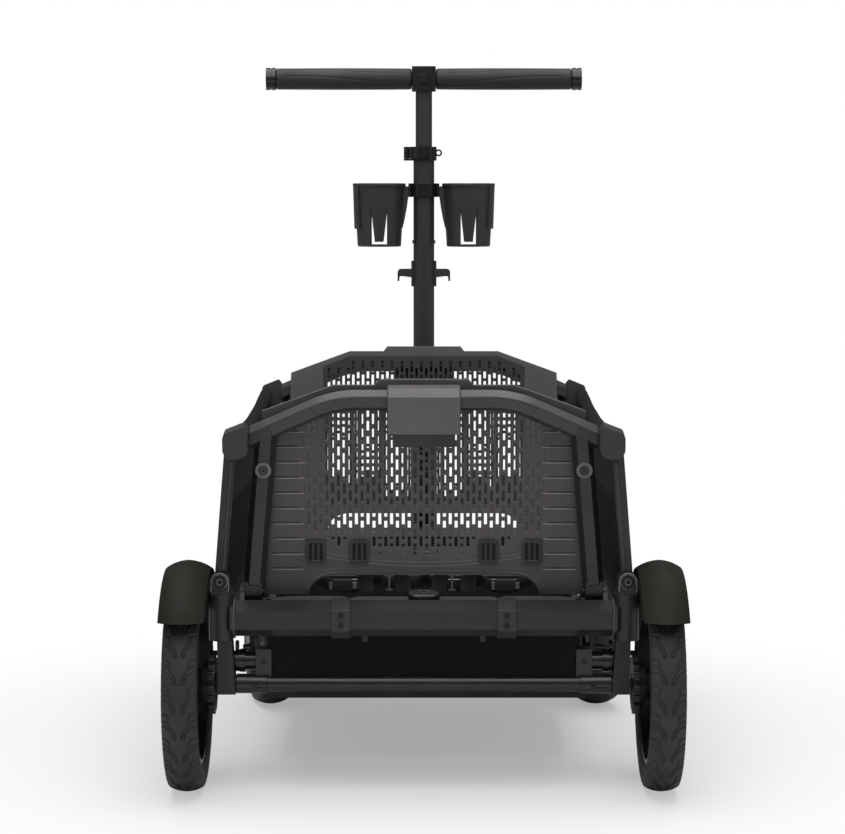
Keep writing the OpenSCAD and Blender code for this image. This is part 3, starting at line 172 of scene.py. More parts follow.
class Finishes:
    """All finishes, named for what they cover; a replaced one says how it differs."""

    TUBE = Finish("anodised_tube", "anodised_tube", (54, 52, 50), 0.40, 0.35, Grain.BRUSHED,
                  500, 0.03, 0.10, 0.30)
    UPRIGHT = replace(TUBE, name="upright_tube", colour=(54, 52, 51))
    STRUT = replace(TUBE, name="strut_tube", colour=(38, 37, 35), roughness=0.42)
    ARCH = replace(TUBE, name="arch_tube", colour=(68, 66, 66), metallic=0.30)
    POLE = replace(ARCH, name="pole_tube", colour=(64, 61, 58), roughness=0.36, wear=0.20)
    PANEL = Finish("charcoal_panel", "charcoal_moulding", (81, 77, 76), 0.58, 0.0, Grain.LEATHERY,
                   1500, 0.10, 0.08, 0.22)
    # Also worn by the front panel frame, where its paler colour is painted light falling on that frame.
    COVER = replace(PANEL, name="latch_cover", colour=(88, 84, 86), roughness=0.40, bump=0.05, wear=0.25)
    # A darker copy of the panel: painted shade on the front grille, whose inner face lies in the tub's
    # shade.
    SHADED = replace(PANEL, name="shaded_panel", colour=(50, 48, 47), roughness=0.6, wear=0.2)
    CAP = replace(PANEL, name="charcoal_cap", colour=(46, 44, 41), roughness=0.42, grain_scale=1700,
                  bump=0.06, wear=0.25)
    FENDER = replace(PANEL, name="fender_shell", colour=(36, 34, 30), roughness=0.6, grain_scale=1400,
                     bump=0.08, wear=0.2, specular=0.12)
    # Pale line colours: painted highlights on thin raised lines along the panel's groove lips, arch
    # opening and bow.
    RIB = replace(PANEL, name="panel_rib", colour=(138, 134, 133), roughness=0.5, bump=0.06, wear=0.1)
    LINE = replace(RIB, name="panel_line", colour=(108, 104, 103))
    BLACK = Finish("black_moulding", "black_moulding", (33, 32, 31), 0.38, 0.0, Grain.LEATHERY,
                   1600, 0.05, 0.12, 0.2)
    PAN = replace(BLACK, name="footwell_pan", colour=(25, 24, 24), roughness=0.5, grain_scale=1500,
                  bump=0.06, mottle=0.1, wear=0.1)
    CUP = replace(BLACK, name="satin_cup", colour=(52, 52, 49), roughness=0.36, grain_scale=1700,
                  bump=0.04, mottle=0.1, wear=0.12)
    GLOSS = Finish("gloss_moulding", "black_moulding", (24, 24, 24), 0.22, 0.0, Grain.SMOOTH,
                   1200, 0.02, 0.1, 0.1)
    CLIP = replace(GLOSS, name="pale_clip", colour=(104, 104, 102), roughness=0.5)
    STEEL = Finish("plated_steel", "steel", (112, 109, 109), 0.5, 0.4, Grain.BRUSHED,
                   900, 0.05, 0.15, 0.2)
    RING = Finish("bolt_ring", "steel", (84, 82, 80), 0.4, 0.3, Grain.SMOOTH, 900, 0.03, 0.15, 0.25)
    # Pale line colour: painted highlights on the knuckles' rims, round their bolt pockets and on their
    # bolt heads.
    RIM = replace(RING, name="knuckle_rim", colour=(130, 127, 124), metallic=0.2, mottle=0.12, wear=0.2)
    BLACK_STEEL = replace(RING, name="black_steel", colour=(44, 43, 42), roughness=0.35, metallic=0.7)
    TYRE = Finish("tyre_rubber", "tyre_rubber", (43, 41, 40), 0.62, 0.0, Grain.LEATHERY,
                  1300, 0.10, 0.14, 0.4)
    GRIP = Finish("grip_rubber", "grip_rubber", (36, 35, 35), 0.6, 0.0, Grain.LEATHERY,
                  1500, 0.08, 0.1, 0.1)
    MESH = Finish("spacer_mesh", "cloth", (22, 22, 23), 0.82, 0.0, Grain.MESH,
                  420, 0.5, 0.12, 0.0, 0.15, turn=FACE_ROUND)
    MESH_SIDE = replace(MESH, name="side_mesh", colour=(20, 20, 20), roughness=0.84, sheen=0.02,
                        specular=0.2, turn=FACE_SIDE)
    CANVAS_SIDE = Finish("side_canvas", "cloth", (31, 30, 30), 0.86, 0.0, Grain.CANVAS,
                         950, 0.35, 0.14, 0.0, 0.04, 0.25, FACE_SIDE)
    HEM = replace(CANVAS_SIDE, name="hem_canvas", colour=(18, 18, 18), sheen=0.02, specular=0.2)
    WEB = Finish("webbing", "webbing", (26, 26, 27), 0.7, 0.0, Grain.WEBBING,
                 700, 0.4, 0.12, 0.0, 0.2)
    WEB_SIDE = replace(WEB, name="side_tape", colour=(30, 30, 30), sheen=0.03, specular=0.3,
                       turn=FACE_SIDE)
    WEB_WALL = replace(WEB, name="guide_webbing", colour=(34, 34, 35), turn=FACE_END)
    PAD = Finish("pad_cloth", "cloth", (30, 30, 31), 0.88, 0.0, Grain.CANVAS,
                 1100, 0.3, 0.16, 0.0, 0.3)
    PIPING = Finish("piping", "cloth", (92, 90, 88), 0.75, 0.0, Grain.CANVAS,
                    1300, 0.2, 0.1, 0.0, 0.1)


def feed(tree: bpy.types.NodeTree, node: bpy.types.Node, feeds: dict) -> None:
    """Links or sets a node's inputs.

    Args:
        tree: The node's tree.
        node: The node to feed.
        feeds: By an input's name or number, the socket to link or the value to set.
    """
    for key, value in feeds.items():
        if isinstance(value, bpy.types.NodeSocket):
            tree.links.new(value, node.inputs[key])
        else:
            node.inputs[key].default_value = value


def add_node(tree: bpy.types.NodeTree, kind: str, feeds: dict | None = None,
             **settings) -> bpy.types.Node:
    """A new shader node with its settings and inputs.

    Args:
        tree: The tree that it joins.
        kind: Its type, without ShaderNode in front.
        feeds: What its inputs get, as feed takes it.
        **settings: Values of the node's own properties.

    Returns:
        The new node.
    """
    node = tree.nodes.new("ShaderNode" + kind)
    for key, value in settings.items():
        setattr(node, key, value)
    feed(tree, node, feeds or {})
    return node


def add_math(tree: bpy.types.NodeTree, operation: str, *values) -> bpy.types.NodeSocket:
    """The result of a new math node over sockets or numbers."""
    return add_node(tree, "Math", dict(enumerate(values)), operation=operation).outputs[0]


class GroupShelf:
    """Builds each shared shader group once and hands it out."""

    VECTOR = ("Vector", "Vector", None)

    def __init__(self) -> None:
        """Starts with an empty shelf."""
        self._made: dict[str, bpy.types.NodeTree] = {}

    def get(self, name: str) -> bpy.types.NodeTree:
        """The group of that name, built on first use.

        Args:
            name: One of mottle, relief, weave or edges.

        Returns:
            The shader node group.
        """
        if name not in self._made:
            self._made[name] = getattr(self, "_" + name)()
        return self._made[name]

    @staticmethod
    def _tree(name: str, inputs: Iterable[tuple], outputs: Iterable[tuple[str, str]]) -> tuple:
        """A new empty group with those sockets.

        Args:
            name: The group's name.
            inputs: Socket name, kind and default of each input.
            outputs: Socket name and kind of each output.

        Returns:
            The tree, what its input node gives, its output node, and its math.
        """
        tree = bpy.data.node_groups.new(name, "ShaderNodeTree")
        add = tree.interface.new_socket
        for label, kind, default in inputs:
            socket = add(name=label, in_out="INPUT", socket_type="NodeSocket" + kind)
            if default is not None:
                socket.default_value = default
        for label, kind in outputs:
            add(name=label, in_out="OUTPUT", socket_type="NodeSocket" + kind)
        given = tree.nodes.new("NodeGroupInput").outputs
        return tree, given, tree.nodes.new("NodeGroupOutput"), partial(add_math, tree)

    def _mottle(self) -> bpy.types.NodeTree:
        """Slow and fine colour variation round a base colour."""
        tree, given, out, math_of = self._tree(
            "Mottle", (self.VECTOR, ("Base", "Color", None), ("Amount", "Float", 0.1)),
            (("Color", "Color"), ("Value", "Float")))
        slow, fine = (
            add_node(tree, "TexNoise", {"Vector": given["Vector"], "Scale": scale, "Detail": detail})
            for scale, detail in ((9.0, 4.0), (160.0, 3.0)))
        both = math_of("MULTIPLY_ADD", fine.outputs["Fac"], 0.4, slow.outputs["Fac"])
        swing = math_of("MULTIPLY", math_of("SUBTRACT", both, 0.7), given["Amount"])
        gain = math_of("MULTIPLY_ADD", swing, 2.2, 1.0)
        scaled = add_node(tree, "VectorMath", {0: given["Base"], "Scale": gain}, operation="SCALE")
        feed(tree, out, {"Color": scaled.outputs[0], "Value": both})
        return tree

    def _relief(self) -> bpy.types.NodeTree:
        """Fine moulded grain: a height and a roughness swing."""
        tree, given, out, math_of = self._tree(
            "MouldedGrain", (self.VECTOR, ("Scale", "Float", 1200), ("Stretch", "Float", 1)),
            (("Height", "Float"), ("Swing", "Float")))
        along = add_node(tree, "CombineXYZ", {0: given["Stretch"], 1: 1.0, 2: 1.0})
        spread = add_node(tree, "VectorMath", {0: given["Vector"], 1: along.outputs[0]},
                          operation="MULTIPLY")
        place = {"Vector": spread.outputs[0], "Scale": given["Scale"]}
        cells = add_node(tree, "TexVoronoi", place, feature="SMOOTH_F1")
        fine = add_node(tree, "TexNoise", place | {"Detail": 2.0})
        broad = add_node(tree, "TexNoise", {"Vector": given["Vector"], "Scale": 24.0})
        height = math_of("MULTIPLY_ADD", fine.outputs["Fac"], 0.6, cells.outputs["Distance"])
        feed(tree, out, {"Height": height, "Swing": broad.outputs["Fac"]})
        return tree

    def _weave(self) -> bpy.types.NodeTree:
        """Over-and-under threads in the first two coordinates, with pores for a mesh."""
        tree, given, out, math_of = self._tree(
            "Weave", (self.VECTOR, ("Scale", "Float", 900), ("Pores", "Float", 0)),
            (("Height", "Float"), ("Thread", "Float")))
        split = add_node(tree, "SeparateXYZ", {0: given["Vector"]})
        phases = [math_of("MULTIPLY", split.outputs[axis], given["Scale"]) for axis in (0, 1)]
        waves = [math_of("SINE", math_of("MULTIPLY", phase, math.tau)) for phase in phases]
        warp, weft = (math_of("ABSOLUTE", wave) for wave in waves)
        cells = [math_of("FLOOR", math_of("MULTIPLY", phase, 2.0)) for phase in phases]
        odd = math_of("PINGPONG", math_of("ADD", *cells), 1.0)
        under = math_of("MULTIPLY", weft, math_of("SUBTRACT", 1.0, odd))
        thread = math_of("ADD", math_of("MULTIPLY", warp, odd), under)
        hole = math_of("MULTIPLY", math_of("MULTIPLY", *waves), given["Pores"])
        height = math_of("SUBTRACT", thread, math_of("MAXIMUM", hole, 0.0))
        feed(tree, out, {"Height": height, "Thread": thread})
        return tree

    def _edges(self) -> bpy.types.NodeTree:
        """A mask that grows on convex edges, broken up by noise."""
        tree, given, out, math_of = self._tree(
            "EdgeWear", (self.VECTOR, ("Amount", "Float", 0.2)), (("Mask", "Float"),))
        ramp = math_of("SUBTRACT", add_node(tree, "NewGeometry").outputs["Pointiness"], 0.515)
        noise = add_node(tree, "TexNoise", {"Vector": given["Vector"], "Scale": 70.0, "Detail": 5.0})
        broken = math_of("MULTIPLY", math_of("MULTIPLY", ramp, 14.0), noise.outputs["Fac"])
        held = add_node(tree, "Clamp", {"Value": broken})
        feed(tree, out, {"Mask": math_of("MULTIPLY", held.outputs[0], given["Amount"])})
        return tree


class MaterialShop:
    """Makes one node material per finish."""

    def __init__(self, shelf: GroupShelf) -> None:
        """Keeps the shelf of shared groups."""
        self.shelf = shelf
        self._made: dict[str, bpy.types.Material] = {}

    def get(self, finish: Finish) -> bpy.types.Material:
        """The material of a finish.

        Args:
            finish: The finish to show.

        Returns:
            Its material, built on first use.
        """
        if finish.name not in self._made:
            self._made[finish.name] = self._build(finish)
        return self._made[finish.name]

    def _group(self, tree: bpy.types.NodeTree, name: str, **values) -> bpy.types.NodeOutputs:
        """Places a shared group in a material with its own values; gives its outputs."""
        return add_node(tree, "Group", values, node_tree=self.shelf.get(name)).outputs

    def _build(self, finish: Finish) -> bpy.types.Material:
        """Builds a finish's nodes.

        Args:
            finish: The finish to build.

        Returns:
            The new material.
        """
        material = bpy.data.materials.new(finish.name)
        material.use_nodes = True
        tree = material.node_tree
        place = add_node(tree, "TexCoord").outputs["Object"]
        vector = add_node(tree, "Mapping", {"Vector": place, "Rotation": finish.turn}).outputs["Vector"]
        base = linear(finish.colour)
        mottle = self._group(tree, "mottle", Vector=vector, Base=base, Amount=finish.mottle)
        dress = self._woven if finish.grain in WOVEN else self._hard
        colour, rough, height = dress(tree, finish, vector, mottle)
        bump = add_node(tree, "Bump", {"Strength": finish.bump, "Distance": BUMP_DEPTH, "Height": height})
        feed(tree, tree.nodes["Principled BSDF"], {
            "Base Color": colour, "Roughness": rough, "Normal": bump.outputs["Normal"],
            "Metallic": finish.metallic, "Specular IOR Level": finish.specular,
            "Sheen Weight": finish.sheen})
        return material

    def _woven(self, tree, finish: Finish, vector, mottle) -> tuple:
        """Colour, roughness and height of a cloth, shaded between its threads."""
        pores = MESH_PORES if finish.grain is Grain.MESH else 0.0
        weave = self._group(tree, "weave", Vector=vector, Scale=finish.grain_scale, Pores=pores)
        dark = add_node(tree, "Mix", data_type="RGBA", blend_type="MULTIPLY", feeds={
            "Factor": THREAD_SHADE, "A": mottle["Color"], "B": weave["Thread"]})
        rough = add_node(tree, "MapRange", {
            "Value": mottle["Value"], "To Min": max(0.0, finish.roughness - WOVEN_SWING),
            "To Max": min(1.0, finish.roughness + WOVEN_SWING)})
        return dark.outputs["Result"], rough.outputs["Result"], weave["Height"]

    def _hard(self, tree, finish: Finish, vector, mottle) -> tuple:
        """Colour, roughness and height of a hard or rubber surface, paler on worn edges."""
        stretch = BRUSH_STRETCH if finish.grain is Grain.BRUSHED else 1.0
        relief = self._group(tree, "relief", Vector=vector, Scale=finish.grain_scale, Stretch=stretch)
        wear = self._group(tree, "edges", Vector=vector, Amount=finish.wear)
        worn = tuple(min(1.0, 2.6 * c + 0.03) for c in linear(finish.colour)[:3]) + (1.0,)
        lift = add_node(tree, "Mix", data_type="RGBA", feeds={
            "Factor": wear["Mask"], "A": mottle["Color"], "B": worn})
        rough = add_node(tree, "MapRange", {
            "Value": relief["Swing"], "From Min": 0.3, "From Max": 0.7,
            "To Min": max(0.05, finish.roughness - HARD_SWING),
            "To Max": min(1.0, finish.roughness + HARD_SWING)})
        return lift.outputs["Result"], rough.outputs["Result"], relief["Height"]


class Workshop:
    """What every sub-assembly builds with: materials, mesh helpers and the frame."""

    def __init__(self, frame: dict) -> None:
        """Keeps the loaded frame and opens the material shop."""
        self.frame = frame
        self.materials = MaterialShop(GroupShelf())

    def piece(self, name: str, mesh: bpy.types.Mesh, finish: Finish,
              body: str | None) -> bpy.types.Object:
        """Puts a mesh into the scene as a dressed piece.

        Args:
            name: The piece's name.
            mesh: Its mesh, in the row frame.
            finish: The finish that it wears.
            body: The body that it rides on, or None where it is placed later.

        Returns:
            The new object.
        """
        obj = bpy.data.objects.new(name, mesh)
        bpy.context.scene.collection.objects.link(obj)
        mesh.materials.append(self.materials.get(finish))
        if body is not None:
            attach(obj, body)
        LOG.info("piece %s: %d points", name, len(mesh.vertices))
        return obj

    def made(self, name: str, meshes: Sequence[bpy.types.Mesh], finish: Finish, body: str | None,
             hard: bool = False) -> bpy.types.Object:
        """Joins meshes into one dressed piece.

        Args:
            name: The piece's name.
            meshes: What it is joined from.
            finish: The finish that it wears.
            body: The body that it rides on, or None where it is placed later.
            hard: Whether its edges are kept sharp.

        Returns:
            The new object.
        """
        mesh = self.joined(name, meshes)
        return self.piece(name, self.crisp(mesh) if hard else mesh, finish, body)

    @staticmethod
    def mesh(name: str, points: np.ndarray, faces: Sequence) -> bpy.types.Mesh:
        """A mesh of points and faces, shaded smooth.

        Args:
            name: The mesh's name.
            points: Array whose last axis is x, y and z.
            faces: Point numbers of each face.

        Returns:
            The new mesh.
        """
        out = bpy.data.meshes.new(name)
        out.from_pydata(points.reshape(-1, 3).tolist(), [], faces)
        out.polygons.foreach_set("use_smooth", [True] * len(out.polygons))
        out.update()
        return out

    @staticmethod
    def quads(rows: int, cols: int, wrap_u: bool = False, wrap_v: bool = False) -> list[list[int]]:
        """Faces over a grid of points.

        Args:
            rows: How many rows it has.
            cols: How many points a row has.
            wrap_u: Whether the last row joins the first.
            wrap_v: Whether the last column joins the first.

        Returns:
            Four point numbers for each face.
        """
        index = np.arange(rows * cols).reshape(rows, cols)
        a = index if wrap_u else index[:-1]
        b = np.roll(index, -1, 0) if wrap_u else index[1:]
        if wrap_v:
            a2, b2 = np.roll(a, -1, 1), np.roll(b, -1, 1)
        else:
            a, a2, b, b2 = a[:, :-1], a[:, 1:], b[:, :-1], b[:, 1:]
        return np.stack([a, b, b2, a2], -1).reshape(-1, 4).tolist()

    @classmethod
    def grid(cls, name: str, points: np.ndarray, wrap_u: bool = False,
             wrap_v: bool = False) -> bpy.types.Mesh:
        """A mesh of quads over points of shape (rows, columns, 3), wrapped as quads says."""
        return cls.mesh(name, points, cls.quads(*points.shape[:2], wrap_u, wrap_v))

    @classmethod
    def capped(cls, name: str, points: np.ndarray, way: int = 1) -> bpy.types.Mesh:
        """A grid that wraps round its columns, with its first and last rows closed.

        Args:
            name: The mesh's name.
            points: Array of shape (rows, columns, 3).
            way: 1 or -1, whichever turns the two closing faces outwards.

        Returns:
            The closed mesh.
        """
        rows, cols = points.shape[:2]
        ends = [list(range(cols))[::way], list(range((rows - 1) * cols, rows * cols))[::-way]]
        return cls.mesh(name, points, cls.quads(rows, cols, wrap_v=True) + ends)

    @classmethod
    def joined(cls, name: str, meshes: Sequence[bpy.types.Mesh]) -> bpy.types.Mesh:
        """One mesh of several, left as separate shells.

        Args:
            name: The new mesh's name.
            meshes: The meshes to join, which are removed.

        Returns:
            The joined mesh.
        """
        points: list = []
        faces: list = []
        for mesh in meshes:
            start = len(points)
            points += [tuple(v.co) for v in mesh.vertices]
            faces += [tuple(start + i for i in p.vertices) for p in mesh.polygons]
            bpy.data.meshes.remove(mesh)
        return cls.mesh(name, np.array(points), faces)

    @classmethod
    def shell(cls, name: str, outer: np.ndarray, inner: np.ndarray, keep: np.ndarray) -> bpy.types.Mesh:
        """A closed wall between two grids that wrap round, with some cells left out.

        Args:
            name: The mesh's name.
            outer: Outer points, shape (rows, columns, 3).
            inner: Inner points, of the same shape.
            keep: Which cells stay, shape (rows - 1, columns).

        Returns:
            The wall's mesh, closed round every opening.
        """
        rows, cols = outer.shape[:2]
        far = rows * cols
        index = np.arange(far).reshape(rows, cols)
        faces: list = []
        for i, j in zip(*np.nonzero(keep)):
            k = (j + 1) % cols
            a, b, c, d = (int(v) for v in (index[i, j], index[i + 1, j], index[i + 1, k], index[i, k]))
            faces += [(a, b, c, d), (d + far, c + far, b + far, a + far)]
            beside = (((a, b), (i, (j - 1) % cols)), ((b, c), (i + 1, j)),
                      ((c, d), (i, k)), ((d, a), (i - 1, j)))
            for (p, q), (m, n) in beside:
                if not (0 <= m < rows - 1 and keep[m, n]):
                    faces.append((q, p, p + far, q + far))
        return cls.mesh(name, np.stack([outer, inner]), faces)

    @classmethod
    def prism(cls, name: str, low: np.ndarray, high: np.ndarray) -> bpy.types.Mesh:
        """A closed block between two like outlines.

        Args:
            name: The mesh's name.
            low: Points of the first outline, shape (n, 3).
            high: Points of the second, in the same order.

        Returns:
            The block's mesh.
        """
        n = len(low)
        faces: list = [tuple(range(n))[::-1], tuple(range(n, 2 * n))]
        faces += [(i, (i + 1) % n, n + (i + 1) % n, n + i) for i in range(n)]
        return cls.mesh(name, np.stack([low, high]), faces)

    @staticmethod
    def crisp(mesh: bpy.types.Mesh, angle: float = 35.0) -> bpy.types.Mesh:
        """Turns a hard piece's faces outwards and keeps its edges sharp.

        Args:
            mesh: The mesh to finish.
            angle: Edges steeper than this, in degrees, stay sharp.

        Returns:
            The same mesh.
        """
        work = bmesh.new()
        work.from_mesh(mesh)
        loose = [v for v in work.verts if not v.link_faces]
        bmesh.ops.delete(work, geom=loose, context="VERTS")
        bmesh.ops.recalc_face_normals(work, faces=work.faces)
        work.to_mesh(mesh)
        work.free()
        mesh.set_sharp_from_angle(angle=math.radians(angle))
        mesh.update()
        return mesh

    @classmethod
    def turned(cls, name: str, outline: Sequence[tuple[float, float]], place: Callable,
               steps: int = 48) -> bpy.types.Mesh:
        """A turned piece from a closed outline of radius and height.

        Args:
            name: The mesh's name.
            outline: Radius and height of each point, in order.
            place: Takes across, along and height arrays to row points.
            steps: Points round the piece.

        Returns:
            The turned mesh.
        """
        line = np.array(outline)
        turn = np.linspace(0, math.tau, steps, endpoint=False)
        r, h = line[:, 0][:, None], line[:, 1][:, None]
        points = place(r * np.cos(turn), r * np.sin(turn), h * np.ones(steps))
        return cls.grid(name, points, wrap_u=True, wrap_v=True)

    @classmethod
    def tube(cls, name: str, path: np.ndarray, radius: float | np.ndarray,
             sides: int = 16) -> bpy.types.Mesh:
        """A closed tube along a path.

        Args:
            name: The mesh's name.
            path: Points of the path, shape (n, 3).
            radius: Radius, or one for each point.
            sides: Points round the tube.

        Returns:
            The tube's mesh, with capped ends.
        """
        tangent = unit(np.gradient(path, axis=0))
        guide = np.array([0.0, 0.0, 1.0])
        if abs(tangent[:, 2]).max() > 0.9:
            guide = np.array([1.0, 0.0, 0.0])
        side = unit(np.cross(tangent, guide))
        up = np.cross(side, tangent)
        radius = np.broadcast_to(np.asarray(radius, float), (len(path),))
        turn = np.linspace(0, math.tau, sides, endpoint=False)[:, None]
        ring = np.cos(turn) * side[:, None] + np.sin(turn) * up[:, None]
        return cls.capped(name, path[:, None] + radius[:, None, None] * ring)


@dataclass
class Studio:
    """White studio: floor, backdrop light, lamps and the photograph's camera."""

    distance: float = 3.433
    height: float = 0.810
    pitch: float = 4.91
    lens: float = 107.6
    shift: float = -0.0016
    sensor: float = 36.0
    far_clip: float = 60.0
    floor_size: float = 30.0
    world_light: float = 0.18
    FLOOR_LOOK = {"Base Color": (0.88, 0.88, 0.87, 1), "Roughness": 0.75, "Specular IOR Level": 0.15}
    FLOOR_FADE = {"From Min": 0.3, "From Max": 1.05, "To Min": 0.36, "To Max": 1.0}
    # Name, place, target, size and power of each lamp
    LAMPS = (
        ("overhead", (0.0, 0.2, 3.2), (0, 0.2, 0.3), (3.2, 3.2), 86.0),
        ("key", (0.0, -2.2, 3.0), (0, 0, 0.4), (2.6, 1.6), 33.0),
        ("left_box", (-3.0, -1.2, 1.9), (0, 0, 0.4), (1.4, 2.2), 5.0),
        ("right_box", (3.0, -1.0, 1.9), (0, 0, 0.4), (1.4, 2.2), 5.0),
        ("back_fill", (0.0, -4.4, 2.2), (0, 0, 0.4), (2.4, 1.2), 4.0),
    )

    def build(self) -> None:
        """Makes the floor, the lights, the world and the camera."""
        self._world()
        self._floor()
        self._lamps()
        self._camera()

    @staticmethod
    def _put(name: str, data: bpy.types.ID) -> bpy.types.Object:
        """A new object in the scene."""
        obj = bpy.data.objects.new(name, data)
        bpy.context.scene.collection.objects.link(obj)
        return obj

    def _world(self) -> None:
        """A faint white world that the camera alone sees at full strength."""
        world = bpy.data.worlds.new("studio")
        bpy.context.scene.world = world
        world.use_nodes = True
        tree = world.node_tree
        light = tree.nodes["Background"]
        feed(tree, light, {"Color": WHITE, "Strength": self.world_light})
        seen = add_node(tree, "Background", {"Color": WHITE, "Strength": 1.0})
        ray = add_node(tree, "LightPath").outputs["Is Camera Ray"]
        mix = add_node(tree, "MixShader", {"Fac": ray, 1: light.outputs[0], 2: seen.outputs[0]})
        feed(tree, tree.nodes["World Output"], {"Surface": mix.outputs[0]})

    def _floor(self) -> None:
        """A pale floor that keeps the wagon's shadow and fades to white far out."""
        half = self.floor_size / 2
        mesh = bpy.data.meshes.new("floor")
        corners = [(-half, -half, 0), (half, -half, 0), (half, half, 0), (-half, half, 0)]
        mesh.from_pydata(corners, [], [(0, 1, 2, 3)])
        floor = self._put("floor", mesh)
        material = bpy.data.materials.new("studio_floor")
        material.use_nodes = True
        tree = material.node_tree
        shader = tree.nodes["Principled BSDF"]
        feed(tree, shader, self.FLOOR_LOOK)
        white = add_node(tree, "Emission", {"Strength": 1.0})
        place = add_node(tree, "TexCoord").outputs["Object"]
        reach = add_node(tree, "VectorMath", {0: place}, operation="LENGTH")
        fade = add_node(tree, "MapRange", {"Value": reach.outputs["Value"]} | self.FLOOR_FADE,
                        interpolation_type="SMOOTHSTEP")
        seen = add_node(tree, "LightPath").outputs["Is Camera Ray"]
        mix = add_node(tree, "MixShader", {
            "Fac": add_math(tree, "MULTIPLY", fade.outputs["Result"], seen),
            1: shader.outputs[0], 2: white.outputs[0]})
        feed(tree, tree.nodes["Material Output"], {"Surface": mix.outputs[0]})
        mesh.materials.append(material)

    def _lamps(self) -> None:
        """A big overhead softbox, a key on the camera's side, two side boxes and a fill."""
        for name, place, target, size, power in self.LAMPS:
            lamp = bpy.data.lights.new(name, "AREA")
            lamp.shape = "RECTANGLE"
            lamp.size, lamp.size_y = size
            lamp.energy = power
            obj = self._put(name, lamp)
            obj.location = place
            obj.rotation_euler = (Vector(target) - Vector(place)).to_track_quat("-Z", "Y").to_euler()

    def _camera(self) -> None:
        """The photograph's camera, low behind the wagon."""
        lens = bpy.data.cameras.new("camera")
        lens.lens = self.lens
        lens.sensor_width = self.sensor
        lens.shift_x = self.shift
        lens.clip_end = self.far_clip
        obj = self._put("camera", lens)
        obj.location = (0, REAR_Y - self.distance, self.height)
        obj.rotation_euler = (math.radians(90 - self.pitch), 0, 0)
        bpy.context.scene.camera = obj
        bpy.context.scene.view_settings.view_transform = "Standard"


@dataclass
class SolidDress:
    """Finishes and rounded edges on the CAD nodes that stay."""

    shop: Workshop
    finishes: dict[str, Finish] = field(default_factory=dict)
    edge: float = 0.8
    weld: float = 0.02
    edge_angle: float = 38.0
    # Width of the rounded edge, in millimetres, of the nodes that differ
    WIDTHS = {"fenders": 0.35, "rear_grille": 0.35, "front_grille": 0.35, "crossmembers": 1.3,
              "rear_uprights": 1.3, "left_corner_caps": 3.5, "right_corner_caps": 3.5,
              "rear_latch_cover": 2.4, "front_latch_cover": 2.4}
    WALLS = {"uprights": Finishes.UPRIGHT, "arch_tube": Finishes.ARCH, "arch_ends": Finishes.CAP,
             "panel_frame": Finishes.PANEL, "grille": Finishes.PANEL, "latch_cover": Finishes.COVER,
             "wall_bolts": Finishes.STEEL, "release_lever": Finishes.BLACK}
    GROUPS = {
        "crossmembers side_rails": Finishes.TUBE,
        "rear_axle left_corner_posts right_corner_posts": Finishes.STRUT,
        "footwell_pan": Finishes.PAN,
        "pole_outer_tube pole_inner_tube": Finishes.POLE,
        "brake_carriers left_rear_rim right_rear_rim left_brake_pedal right_brake_pedal": Finishes.GLOSS,
        "left_corner_caps right_corner_caps tube_brackets": Finishes.CAP,
        "fenders": Finishes.FENDER,
        "frame_bolts pivot_pins tee_button": Finishes.BLACK_STEEL,
        "clamp_collar clamp_lever left_cup right_cup cup_clamp": Finishes.GLOSS,
        "hook_bracket grip_caps tee_block": Finishes.GLOSS,
        "left_caster_wheel right_caster_wheel left_rear_tyre right_rear_tyre": Finishes.TYRE,
        "handle_grips": Finishes.GRIP,
        # Painted shade: the front grille wears a darkened copy of the panel.
        "front_grille": Finishes.SHADED,
        # Painted light: the front panel frame wears the paler cover finish.
        "front_panel_frame": Finishes.COVER,
    }

    def __post_init__(self) -> None:
        """Sets which finish each kept node wears."""
        for end in ("rear", "front"):
            for part, finish in self.WALLS.items():
                self.finishes[f"{end}_{part}"] = finish
        for names, finish in self.GROUPS.items():
            for name in names.split():
                self.finishes[name] = finish

    def build(self) -> None:
        """Gives every node its finish and a small rounded edge."""
        for name, obj in self.shop.frame["nodes"].items():
            finish = self.finishes.get(name, Finishes.BLACK)
            obj.data.materials.clear()
            obj.data.materials.append(self.shop.materials.get(finish))
            weld = obj.modifiers.new("weld", "WELD")
            weld.merge_threshold = self.weld * MM
            bevel = obj.modifiers.new("edge", "BEVEL")
            bevel.segments = 2
            bevel.limit_method = "ANGLE"
            bevel.angle_limit = math.radians(self.edge_angle)
            bevel.width = self.WIDTHS.get(name, self.edge) * MM
            shade = obj.modifiers.new("shade", "WEIGHTED_NORMAL")
            shade.weight = 90
            shade.keep_sharp = False
            LOG.info("node %s wears %s", name, finish.name)


def unit(rows: np.ndarray) -> np.ndarray:
    """Vectors of length 1 along each row."""
    return rows / np.linalg.norm(rows, axis=1)[:, None]


def soft_step(low: float, high: float, value: np.ndarray) -> np.ndarray:
    """Smooth rise from 0 at low to 1 at high."""
    t = np.clip((value - low) / (high - low), 0, 1)
    return t * t * (3 - 2 * t)


def post_y(z: float | np.ndarray) -> float | np.ndarray:
    """Y of a rear corner post's axis at a height, in the row frame."""
    return REAR_Y + HINGE_IN - 0.032 / math.cos(WALL_LEAN) - (z - HINGE_Z) * math.tan(WALL_LEAN)


def outward(side: Side, points: np.ndarray) -> np.ndarray:
    """A side's grid of points, turned so that its faces look outwards."""
    return points[:, ::-1] if side is Side.LEFT else points


